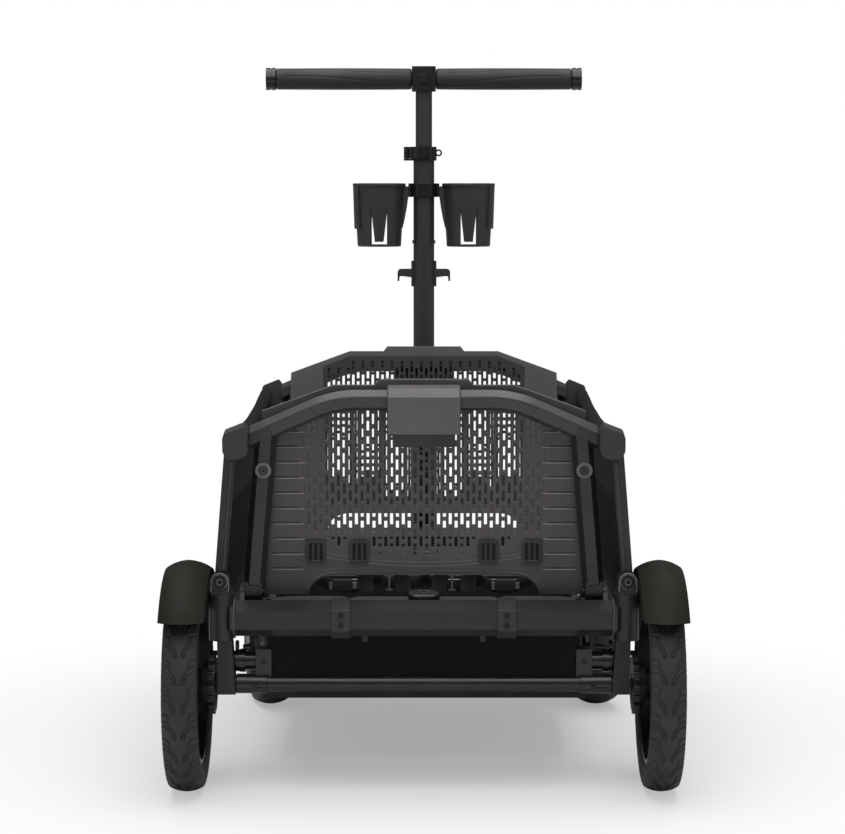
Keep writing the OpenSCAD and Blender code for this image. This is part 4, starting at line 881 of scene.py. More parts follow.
@dataclass
class RearTyre:
    """A rear tyre with its moulded tread, wrapped on its rim."""

    shop: Workshop
    side: Side
    radius: float = 147.0
    bead: float = 110.1
    crown: float = 44.0
    track: float = 324.5
    pitches: int = 25
    steps: int = 32
    depth: float = 2.0
    groove: float = 1.25
    tread_from: float = 132.0
    tread_full: float = 137.5
    SHOULDER = ((22.7, 140.2), (23.3, 138.8), (23.65, 137.0), (23.75, 135.0), (23.75, 133.2),
                (23.6, 131.6), (23.6, 129.8), (23.75, 128.0), (23.7, 125.0), (23.3, 121.0),
                (22.6, 117.0), (21.6, 113.4), (20.4, 111.2), (18.6, 110.1))
    STROKES = (
        ((15.0, 9.0), (10.5, 14.0), (5.6, 21.0), (3.4, 29.0)),
        ((3.4, 29.0), (4.4, 31.6), (6.4, 31.8), (7.6, 29.6)),
        ((7.6, 29.6), (8.8, 24.0), (12.0, 18.2), (17.0, 14.5), (25.0, 12.5)),
        ((13.0, 9.0), (13.2, -1.0), (17.0, -3.6), (25.0, -5.0)),
        ((13.0, 9.0), (17.5, 6.6), (25.0, 5.2)),
    )

    def build(self) -> None:
        """Makes the tyre and lets it stand for the plain one."""
        off, rim_r = self._profile()
        turns = self.pitches * self.steps
        angle = np.arange(turns) * math.tau / turns
        along = (np.arange(turns) % self.steps) * (math.tau * self.radius / turns)
        cut = self._tread(off, along)
        fade = soft_step(self.tread_from, self.tread_full, rim_r)
        r = rim_r[None, :] - self.depth * cut * fade[None, :]
        x = self.side.value * (self.track + off)[None, :] * np.ones_like(r)
        y = r * np.cos(angle)[:, None]
        z = r * np.sin(angle)[:, None]
        points = outward(self.side, np.stack([x * MM, REAR_Y + y * MM, AXLE_Z + z * MM], -1))
        name = f"{self.side.word}_tread_tyre"
        mesh = self.shop.grid(name, points[::-1], wrap_u=True, wrap_v=True)
        tyre = self.shop.piece(name, mesh, Finishes.TYRE, f"{self.side.word}_rear_wheel")
        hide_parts(f"{self.side.word}_rear_tyre")

    def _profile(self) -> tuple[np.ndarray, np.ndarray]:
        """Half-width and radius of the section, round the tyre's closed outline."""
        tread = np.linspace(-21.8, 21.8, 62)
        crown = self.radius - self.crown + np.sqrt(self.crown**2 - tread**2)
        right = np.array(self.SHOULDER)
        off = np.concatenate([-right[::-1, 0], tread, right[:, 0], [6.0, -6.0]])
        rad = np.concatenate([right[::-1, 1], crown, right[:, 1], [self.bead, self.bead]])
        return off, rad

    def _tread(self, off: np.ndarray, along: np.ndarray) -> np.ndarray:
        """How deep the tread is cut, 0 to 1, at each place round and across."""
        pitch = math.tau * self.radius / self.pitches
        a = np.abs(off)[None, :]
        best = np.full((len(along), len(off)), 1e9)
        for stroke in self.STROKES:
            for (a0, s0), (a1, s1) in zip(stroke, stroke[1:]):
                for shift in (-pitch, 0.0, pitch):
                    da, ds = a1 - a0, s1 - s0
                    t = ((a - a0) * da + (along[:, None] - shift - s0) * ds) / (da * da + ds * ds)
                    t = np.clip(t, 0, 1)
                    gap = np.hypot(a - a0 - t * da, along[:, None] - shift - s0 - t * ds)
                    best = np.minimum(best, gap)
        return 1 - soft_step(self.groove * 0.55, self.groove * 1.35, best)


@dataclass
class HandleGrips:
    """Two rubber grips with long flowing grooves."""

    shop: Workshop
    inner: float = 20.3
    outer: float = 247.7
    radius: float = 18.0
    bar_z: float = 1012.0
    core: float = 12.05
    grooves: int = 6
    groove_depth: float = 0.9
    end_round: float = 1.6
    sides: int = 96
    steps: int = 150

    def build(self) -> None:
        """Makes both grips as one piece."""
        meshes = [self._grip(side) for side in Side]
        grips = self.shop.made("grip_sleeves", meshes, Finishes.GRIP, "handle_top")
        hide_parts("handle_grips")

    def _grip(self, side: Side) -> bpy.types.Mesh:
        """One grip's mesh, open-ended sleeve closed onto its core."""
        t = np.linspace(0, 1, self.steps)
        turn = np.linspace(0, math.tau, self.sides, endpoint=False)
        round_end = np.minimum(soft_step(0, 0.012, t), soft_step(0, 0.012, 1 - t))
        cut = np.zeros((self.steps, self.sides))
        for k in range(self.grooves):
            centre = k * math.tau / self.grooves + 0.35 * np.sin(math.pi * t * 1.1 + 0.6 * k) + 0.12
            gap = np.abs((turn[None, :] - centre[:, None] + math.pi) % math.tau - math.pi) * self.radius
            span = soft_step(0.04, 0.10, t) * soft_step(0.03, 0.09, 1 - t)
            cut = np.maximum(cut, (1 - soft_step(0.35, 1.5, gap)) * span[:, None])
        swell = 0.5 * np.sin(math.pi * t) - 0.5
        eased = self.end_round * (1 - round_end)[:, None]
        r = (self.radius + swell)[:, None] - self.groove_depth * cut - eased
        onto = np.full((1, self.sides), self.core)
        r = np.vstack([onto, r, onto])
        t = np.concatenate([[0.0], t, [1.0]])
        x = side.value * (self.inner + (self.outer - self.inner) * t)
        y, z = r * np.cos(turn), r * np.sin(turn)
        points = np.stack([np.broadcast_to(x[:, None], r.shape) * MM, POLE_Y + y * MM,
                           (self.bar_z + z) * MM], -1)
        if side is Side.RIGHT:
            points = points[::-1]
        return self.shop.grid(f"{side.word}_grip", points, wrap_v=True)


@dataclass
class CupHolder:
    """One cup holder: tapered wall with two sprung windows, rolled lip, thumb panel and bracket."""

    shop: Workshop
    side: Side
    axis: float = 75.0
    low: float = 732.0
    base_r: float = 36.5
    top_r: float = 42.5
    tall: float = 106.0
    wall: float = 2.5
    window: float = 14.2
    window_low: float = 3.2
    window_top: float = 67.0
    tongue: float = 7.5
    tongue_low: float = 8.2
    spring_in: float = 2.6
    spring_curve: float = 1.4
    foot_in: float = 1.4
    foot_high: float = 1.6
    panel_low: float = 30.0
    panel_top: float = 101.0
    panel_turn: float = 37.0
    panel_r: float = 42.0
    panel_flare: float = 2.2
    # Columns of a window's slit, of its tongue, and of the wall between two windows
    SLIT, LEAF, ARC = 4, 8, 36
    LIP = ((39.8, 100.0), (42.6, 100.0), (44.1, 100.8), (44.5, 101.8), (44.5, 104.8), (44.1, 105.6),
           (43.2, 106.0), (41.0, 106.0), (40.1, 105.4), (39.8, 104.4))
    FLOOR = ((0.05, 3.0), (34.6, 3.0), (34.6, 0.4), (0.05, 0.4))
    BRACKET = ((-49.0, 101.0), (-49.0, 84.0), (-46.5, 66.0), (-42.8, 46.0), (-39.2, 31.0),
               (-36.6, 31.0), (-40.5, 101.0))

    def build(self) -> None:
        """Makes the cup in place of the plain one."""
        meshes = [self._wall(), self._panel(), self._bracket(),
                  self.shop.turned("lip", self.LIP, self._place, 72),
                  self.shop.turned("floor", self.FLOOR, self._place)]
        cup = self.shop.made(f"{self.side.word}_window_cup", meshes, Finishes.CUP, "handle", hard=True)
        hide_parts(f"{self.side.word}_cup")

    def _place(self, x: np.ndarray, y: np.ndarray, h: np.ndarray) -> np.ndarray:
        """Row points of the cup's own millimetres, outwards being +x."""
        across = self.side.value * (self.axis + x) * MM
        return np.stack([across, POLE_Y + y * MM, (self.low + h) * MM], -1)

    def _radius(self, h: np.ndarray) -> np.ndarray:
        """Outer radius of the plain wall at a height."""
        taper = self.base_r + (self.top_r - self.base_r) * h / self.tall
        return taper - self.foot_in * np.clip(1 - h / self.foot_high, 0, 1) ** 2

    def _wall(self) -> bpy.types.Mesh:
        """The tapered wall, opened round a hanging tongue at front and back."""
        slit, leaf, arc_cols = self.SLIT, self.LEAF, self.ARC
        window = 2 * slit + leaf
        half = window + arc_cols
        h = np.concatenate([[0.0, self.foot_high / 2, self.foot_high, self.window_low],
                            np.linspace(self.tongue_low, self.window_top, 16),
                            np.linspace(self.window_top, 101.5, 7)[1:]])
        t = np.interp(h, [self.tongue_low, self.window_top], [self.tongue, self.window - 0.6])
        r = self._radius(h)
        edge = np.arcsin(self.window / r)
        rows, springs = [], []
        for k in range(len(h)):
            u = np.concatenate([np.linspace(-self.window, -t[k], slit, endpoint=False),
                                np.linspace(-t[k], t[k], leaf, endpoint=False),
                                np.linspace(t[k], self.window, slit, endpoint=False)])
            arc = np.linspace(edge[k], math.pi - edge[k], arc_cols, endpoint=False) - math.pi / 2
            across = np.arcsin(u / r[k])
            rows.append(np.concatenate([across - math.pi / 2, arc, across + math.pi / 2, arc + math.pi]))
            free = np.clip((self.window_top - h[k]) / (self.window_top - self.tongue_low), 0, 1)
            spring = np.zeros(2 * half)
            if self.tongue_low - 0.1 < h[k] < self.window_top:
                for first in (slit, half + slit):
                    spring[first:first + leaf + 1] = self.spring_in * free**self.spring_curve
            springs.append(spring)
        angle, spring = np.array(rows), np.array(springs)
        keep = np.ones((len(h) - 1, 2 * half), bool)
        for i in range(len(h) - 1):
            middle = (h[i] + h[i + 1]) / 2
            for start in (0, half):
                if self.tongue_low < middle < self.window_top:
                    keep[i, start:start + slit] = keep[i, start + slit + leaf:start + window] = False
                elif self.window_low < middle < self.tongue_low:
                    keep[i, start:start + window] = False
        wide = r[:, None] - spring
        tall = np.broadcast_to(h[:, None], wide.shape)
        outer = self._place(wide * np.cos(angle), wide * np.sin(angle), tall)
        thin = wide - self.wall
        inner = self._place(thin * np.cos(angle), thin * np.sin(angle), tall)
        return self.shop.shell("cup_wall", outer, inner, keep)

    def _panel(self) -> bpy.types.Mesh:
        """The raised panel on the cup's outer side, under the lip."""
        h = np.linspace(self.panel_low, self.panel_top, 8)
        turn = np.radians(np.linspace(-self.panel_turn, self.panel_turn, 25))
        flare = self.panel_flare * (h - self.panel_low) / (self.panel_top - self.panel_low)
        keep = np.ones((7, 25), bool)
        keep[:, -1] = False
        grids = []
        for wide in (self.panel_r + flare, self._radius(h) - 0.3):
            x, y = wide[:, None] * np.cos(turn), wide[:, None] * np.sin(turn)
            grids.append(self._place(x, y, h[:, None] + 0 * turn))
        return self.shop.shell("thumb_panel", *grids, keep)

    def _bracket(self) -> bpy.types.Mesh:
        """The bracket that tapers from the clamp down the cup's inner side."""
        line = np.array(self.BRACKET)
        ends = [self._place(line[:, 0], np.full(len(line), y), line[:, 1]) for y in (-6.0, 6.0)]
        return self.shop.prism("bracket", *ends)


@dataclass
class HookSaddle:
    """The bag hooks: a saddle on the far side of the pole with a hook at each side."""

    shop: Workshop
    low: float = 665.0
    high: float = 708.0
    bore: float = 17.6
    outer: float = 21.3
    wrap: float = 14.0
    HOOK = ((19.5, 8.0), (38.0, 8.0), (41.6, 7.2), (43.7, 5.0), (44.4, 1.5), (44.4, -12.6),
            (41.4, -12.6), (41.0, -6.2), (39.6, -4.6), (37.4, -4.2), (19.5, -6.5))

    def build(self) -> None:
        """Makes the saddle and both hooks."""
        meshes = [self._saddle()] + [self._hook(side) for side in Side]
        saddle = self.shop.made("hook_saddle", meshes, Finishes.CUP, "handle", hard=True)
        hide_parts("hook_bracket")

    def _saddle(self) -> bpy.types.Mesh:
        """The half sleeve behind the pole, seen from the wagon's rear."""
        turn = np.radians(np.linspace(-self.wrap, 180 + self.wrap, 41))
        h = np.linspace(self.low, self.high, 5)
        keep = np.ones((4, 41), bool)
        keep[:, -1] = False
        level = 0 * h[:, None]
        grids = [np.stack([r * np.cos(turn) * MM + level, POLE_Y + r * np.sin(turn) * MM + level,
                           (h[:, None] + 0 * turn) * MM], -1) for r in (self.outer, self.bore)]
        return self.shop.shell("saddle", *grids, keep)

    def _hook(self, side: Side) -> bpy.types.Mesh:
        """One hook, bent down at its tip."""
        line = np.array(self.HOOK)
        middle = (self.low + self.high) / 2
        ends = [np.stack([side.value * line[:, 0] * MM, np.full(len(line), POLE_Y + y * MM),
                          (middle + line[:, 1]) * MM], -1) for y in (-4.0, 6.0)]
        return self.shop.prism("hook", *ends)


@dataclass
class KnuckleTrim:
    """Pale lines painted as highlights on the corner knuckles' rims, round their bolt pockets and on
    their bolt heads.
    """

    shop: Workshop
    axis_x: float = 278.5
    axis_z: float = 291.0
    face: float = 14.0
    rim_r: float = 12.0
    leg: float = 14.0
    ring_r: float = 10.1
    bolt_r: float = 4.0
    bolt_proud: float = 1.9

    def build(self) -> None:
        """Makes the pale lines, painted as highlights, on the rims and round the bolts of all four
        knuckles.
        """
        arc = np.radians(np.linspace(180, 0, 30))
        bow = self.rim_r * np.stack([np.cos(arc), np.sin(arc)], -1)
        legs = np.linspace(-self.leg, -1.0, 6)
        left = np.stack([np.full(6, -self.rim_r), legs], -1)
        right = np.stack([np.full(6, self.rim_r), legs[::-1]], -1)
        rim = np.concatenate([left, bow, right])
        turn = np.linspace(0, math.tau, 49)
        ring = np.stack([np.cos(turn), np.sin(turn)], -1)
        meshes = []
        for front in (False, True):
            for side in Side:
                meshes += [self._wire(rim, side, front, 0.75),
                           self._wire(self.ring_r * ring, side, front, 0.6),
                           self._wire(self.bolt_r * ring, side, front, 0.5, self.bolt_proud)]
        self.shop.made("knuckle_rims", meshes, Finishes.RIM, "chassis")

    def _wire(self, flat: np.ndarray, side: Side, front: bool, radius: float,
              proud: float = 0.0) -> bpy.types.Mesh:
        """A thin pale line on a knuckle's outer face, painted as a highlight."""
        y = float(post_y(self.axis_z * MM)) - (self.face + proud) * MM
        if front:
            y = 2 * MID_Y - y
        path = np.stack([side.value * (self.axis_x + flat[:, 0]) * MM, np.full(len(flat), y),
                         (self.axis_z + flat[:, 1]) * MM], -1)
        return self.shop.tube("wire", path, radius * MM, 8)


@dataclass
class AxleSleeve:
    """The gloss-painted axle tube between the brake carriers."""

    shop: Workshop
    half: float = 214.2
    radius: float = 11.12

    def build(self) -> None:
        """Makes the sleeve on the chassis."""
        x = np.linspace(-self.half, self.half, 40) * MM
        path = np.stack([x, np.full_like(x, REAR_Y), np.full_like(x, AXLE_Z)], -1)
        sleeve = self.shop.tube("sleeve", path, self.radius * MM, 64)
        self.shop.made("axle_sleeve", [sleeve], Finishes.GLOSS, "chassis", hard=True)


@dataclass
class BrakeBarrels:
    """The stacked round housings of one brake, turned about the pedal's own pivot."""

    shop: Workshop
    side: Side
    pivot_y: float = -352.75
    pivot_z: float = 177.0
    LARGE = ((1.0, 259.8), (14.2, 259.8), (15.0, 259.0), (15.0, 252.8), (14.2, 252.0), (1.0, 252.0))
    SMALL = ((1.0, 252.4), (12.4, 252.4), (13.0, 251.7), (13.0, 231.2), (12.4, 230.4), (1.0, 230.4))
    BOSS = ((0.6, 259.6), (6.4, 259.6), (7.0, 259.0), (7.0, 255.6), (6.4, 255.0), (0.6, 255.0))
    STUB = ((0.6, 249.4), (3.4, 249.4), (3.9, 248.8), (3.9, 238.0), (3.4, 237.4), (0.6, 237.4))

    def build(self) -> None:
        """Makes the housings, riding on the pedal."""
        word = self.side.word
        rings = [self.shop.turned("barrel", outline, self._put(lift), steps) for outline, lift, steps in (
            (self.LARGE, 0.0, 48), (self.SMALL, 0.0, 48), (self.BOSS, 21.0, 32), (self.STUB, 18.5, 24))]
        self.shop.made(f"{word}_brake_barrels", rings, Finishes.GLOSS, f"{word}_brake", hard=True)

    def _put(self, lift: float) -> Callable:
        """Where a turned housing's own points lie, that far above the pivot."""
        def put(a: np.ndarray, b: np.ndarray, h: np.ndarray) -> np.ndarray:
            """Row points of along, up and across the wagon."""
            return np.stack([self.side.value * h, self.pivot_y + a, self.pivot_z + lift + b], -1) * MM
        return put


@dataclass
class WeldBeads:
    """Stacked weld beads where each cross tube meets its corner sockets."""

    shop: Workshop
    bead_x: float = 260.2
    tube_z: float = 238.0
    tube_side: float = 26.1
    bead: float = 2.3

    def build(self) -> None:
        """Makes all four beads as one piece on the chassis."""
        meshes = [self._bead(side, y, flip) for y, flip in ((REAR_Y, 1), (FRONT_Y, -1)) for side in Side]
        self.shop.made("weld_beads", meshes, Finishes.RING, "chassis")

    def _bead(self, side: Side, y0: float, flip: int) -> bpy.types.Mesh:
        """One bead round a hexagonal tube, as a scalloped ring."""
        corners = np.radians(30 + 60 * np.arange(7))
        hexagon = self.tube_side * np.stack([np.cos(corners), np.sin(corners)], -1)
        flat = np.array([a + (b - a) * t for a, b in zip(hexagon, hexagon[1:])
                         for t in np.linspace(0, 1, 40, endpoint=False)])
        y, z = flat[:, 0], flat[:, 1]
        n = len(flat)
        wave = np.abs(np.sin(np.arange(n) * math.pi / 5.0))
        radius = (self.bead * (0.62 + 0.44 * wave)) * MM
        x = np.full(n, side.value * self.bead_x * MM)
        centre = np.stack([x, y0 + flip * y * MM, (self.tube_z + z) * MM], -1)
        tangent = unit(np.roll(centre, -1, 0) - np.roll(centre, 1, 0))
        out = unit(np.stack([np.zeros(n), flip * y, z], -1))
        across = np.cross(tangent, out)
        turn = np.linspace(0, math.tau, 12, endpoint=False)[:, None]
        ring = np.cos(turn) * out[:, None] + np.sin(turn) * across[:, None]
        points = centre[:, None] + radius[:, None, None] * ring
        return self.shop.grid("bead", points, wrap_u=True, wrap_v=True)


@dataclass
class SideFabric:
    """One fabric side: sheet with a canvas band over mesh, padded hem and binding."""

    shop: Workshop
    side: Side
    plane: float = RAIL_OUT - 0.00175
    hem_z: float = 0.488
    hem_sag: float = 0.017
    hem_r: float = 0.010
    band: float = 0.085
    billow: float = 3.2 * MM
    off_rail: float = 0.0006
    socket_gap: float = 0.0240
    knuckle_gap: float = 0.015
    post_half: float = 0.009 / math.cos(WALL_LEAN)
    post_gap: float = 0.0025
    post_in: float = 0.0062
    cap_gap: float = 0.0035
    cap_half: float = 0.015 / math.cos(WALL_LEAN)
    cols: int = 130
    rows: int = 60
    # Heights where the sheet's edge steps from socket to knuckle, post and cap
    STEPS = (0.2735, 0.3045, 0.4625)

    @property
    def half(self) -> float:
        """Half the hem's span between the corner caps."""
        return MID_Y - float(post_y(self.hem_z)) - self.cap_half - self.cap_gap

    def span(self, count: int) -> np.ndarray:
        """Y of that many points along the hem."""
        return np.linspace(MID_Y - self.half, MID_Y + self.half, count)

    def hem_line(self, y: np.ndarray) -> np.ndarray:
        """Height of the hem's middle at Y."""
        bow = (self.half**2 + self.hem_sag**2) / (2 * self.hem_sag)
        return self.hem_z - self.hem_sag + bow - np.sqrt(bow**2 - (y - MID_Y) ** 2)

    def edge(self, z: np.ndarray) -> np.ndarray:
        """Y of the sheet's rear edge at a height, clear of socket, knuckle and post."""
        low = REAR_Y + self.socket_gap
        knuckle = float(post_y(KNUCKLE_Z)) + self.knuckle_gap
        post = post_y(z) + self.post_half + self.post_gap
        cap = float(post_y(self.hem_z)) + self.cap_half + self.cap_gap
        return np.select([z < top for top in self.STEPS], [low, knuckle, post], cap)

    def reach(self, u: np.ndarray, z: np.ndarray) -> np.ndarray:
        """How far the sheet swings out to its posts near its two ends."""
        post = POST_X - (z - KNUCKLE_Z) * math.tan(POST_ROLL) - self.post_in
        near = np.exp(-((np.minimum(u, 1 - u) / 0.035) ** 2))
        return np.maximum(post - self.plane, 0) * near * soft_step(0.262, 0.298, z)

    def build(self) -> None:
        """Makes the sheet, its hem and its bindings, on the chassis."""
        sheet = self._sheet()
        hem = self._hem()
        tape = self._binding()
        for obj in (sheet, hem, tape):
            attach(obj, "chassis")
            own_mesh(obj)
        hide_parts("side_fabrics")

    def _sheet(self) -> bpy.types.Object:
        """The flat cloth with its slight billow and tension folds."""
        v = np.linspace(0, 1, self.rows)
        u = np.linspace(0, 1, self.cols)
        top = self.hem_line(self.span(self.cols)) - 0.6 * self.hem_r
        z = RAIL_TOP + self.off_rail + v[:, None] * (top[None, :] - RAIL_TOP - self.off_rail)
        start = self.edge(z)
        y = start + (2 * MID_Y - 2 * start) * u[None, :]
        billow = np.sin(math.pi * u)[None, :] ** 0.7 * np.sin(math.pi * v)[:, None] ** 0.8
        fold = 0.6 * np.sin(38 * u[None, :] + 5 * v[:, None]) * np.exp(-3.2 * v[:, None])
        near = np.exp(-9 * np.minimum(u, 1 - u))[None, :]
        fold = fold + 0.5 * np.sin(30 * v[:, None] + 9 * u[None, :]) * near
        x = self.plane - self.billow * billow + fold * billow**0.4 * MM + self.reach(u[None, :], z)
        points = outward(self.side, np.stack([self.side.value * x, y, z], -1))
        name = f"{self.side.word}_side_sheet"
        obj = self.shop.piece(name, self.shop.grid(name, points), Finishes.MESH_SIDE, None)
        obj.data.materials.append(self.shop.materials.get(Finishes.CANVAS_SIDE))
        cut = 1 - self.band / (self.hem_z - RAIL_TOP)
        for face in obj.data.polygons:
            row = face.index // (self.cols - 1)
            if row / (self.rows - 1) > cut or row < 5:
                face.material_index = 1
        return obj

    def _hem(self) -> bpy.types.Object:
        """The padded roll along the top, puckered by its stitching."""
        steps = np.arange(240)
        y = self.span(len(steps))
        path = np.stack([np.full_like(y, self.side.value * self.plane), y, self.hem_line(y)], -1)
        pucker = 1 - 0.035 * np.abs(np.sin(steps * 0.9)) - 0.02 * np.sin(steps * 0.11)
        run = np.linspace(0, 1, len(steps))
        close = np.minimum(soft_step(0, 0.012, run), soft_step(0, 0.012, run[::-1]))
        name = f"{self.side.word}_padded_hem"
        mesh = self.shop.tube(name, path, self.hem_r * pucker * (0.8 + 0.2 * close), 28)
        return self.shop.piece(name, mesh, Finishes.HEM, None)

    def _binding(self) -> bpy.types.Object:
        """Binding tape over the seam between band and mesh, and along the rail."""
        meshes = []
        u = np.linspace(0.004, 0.996, 120)
        top = self.hem_line(self.span(len(u))) - 0.6 * self.hem_r
        for low, high in ((0.0, 0.012), (0.655, 0.695)):
            rows = []
            for v in np.linspace(low, high, 5):
                z = RAIL_TOP + 0.001 + v * (top - RAIL_TOP)
                start = self.edge(z)
                y = start + (2 * MID_Y - 2 * start) * u
                bulge = 0.0012 * math.sin(math.pi * (v - low) / (high - low))
                billow = np.sin(math.pi * u) ** 0.7 * math.sin(math.pi * max(v, 1e-4)) ** 0.8
                x = self.plane + 0.0009 + bulge - self.billow * billow + self.reach(u, z)
                rows.append(np.stack([self.side.value * x, y, z], -1))
            meshes.append(self.shop.grid("tape", outward(self.side, np.array(rows))))
        return self.shop.made(f"{self.side.word}_side_binding", meshes, Finishes.WEB_SIDE, None)


@dataclass
class PostPiping:
    """The pale cord that holds the fabric's edge in each post's groove."""

    shop: Workshop
    side: Side
    low: float = 0.018
    high: float = 0.172
    groove_x: float = -0.0035
    groove_y: float = -0.0078
    radius: float = 0.0012

    def build(self) -> None:
        """Makes the two cords of a side, riding on its posts."""
        meshes = []
        lean, roll = WALL_LEAN, POST_ROLL
        for front in (False, True):
            t = np.linspace(self.low, self.high, 40)
            x, y, z = np.full_like(t, self.groove_x), np.full_like(t, self.groove_y), t
            y, z = y * math.cos(lean) - z * math.sin(lean), y * math.sin(lean) + z * math.cos(lean)
            x, z = x * math.cos(roll) - z * math.sin(roll), x * math.sin(roll) + z * math.cos(roll)
            row_y = float(post_y(KNUCKLE_Z)) + y
            if front:
                row_y = 2 * MID_Y - row_y
            path = np.stack([self.side.value * (POST_X + x), row_y, KNUCKLE_Z + z], -1)
            meshes.append(self.shop.tube("cord", path, self.radius, 10))
        word = self.side.word
        self.shop.made(f"{word}_post_piping", meshes, Finishes.PIPING, f"{word}_side")


@dataclass
class FootwellSkirt:
    """The mesh walls of the footwell, one band of cloth round the pan."""

    shop: Workshop
    half_x: float = 0.2335
    low: float = 0.0955
    high: float = 0.2155
    y0: float = REAR_Y + REAR_DECK + 0.002
    y1: float = REAR_Y + REAR_DECK + FOOTWELL_LEN - 0.002
    corner: float = 0.008
    step: float = 0.006
    rows: int = 28

    def build(self) -> None:
        """Makes the band of cloth."""
        path = self._loop()
        n = len(path)
        v = np.linspace(0, 1, self.rows)
        inward = unit(path.mean(0) - path)
        run = np.arange(n) / n * math.tau
        ripple = 1.5 + 0.5 * np.sin(23 * run) + 0.4 * np.sin(41 * run + 1)
        sag = np.sin(math.pi * v)[:, None] ** 0.8 * ripple[None, :]
        shape = path + (sag * MM)[:, :, None] * inward
        z = np.broadcast_to((self.low + v * (self.high - self.low))[:, None, None], (self.rows, n, 1))
        mesh = self.shop.grid("footwell_cloth", np.concatenate([shape, z], -1), wrap_v=True)
        cloth = self.shop.piece("footwell_cloth", mesh, Finishes.MESH, "chassis")
        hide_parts("footwell_skirt")

    def _loop(self) -> np.ndarray:
        """The band's outline seen from above, as a rounded rectangle."""
        points: list = []
        r = self.corner
        x, y0, y1 = self.half_x - r, self.y0 + r, self.y1 - r
        for k, (cx, cy) in enumerate(((x, y1), (-x, y1), (-x, y0), (x, y0))):
            for a in np.radians(np.linspace(90 * k, 90 * k + 90, 7)):
                points.append((cx + r * math.cos(a), cy + r * math.sin(a)))
        fine: list = []
        for a, b in zip(points, points[1:] + points[:1]):
            steps = max(1, int(math.dist(a, b) / self.step))
            for t in range(steps):
                fine.append((a[0] + (b[0] - a[0]) * t / steps, a[1] + (b[1] - a[1]) * t / steps))
        return np.array(fine)


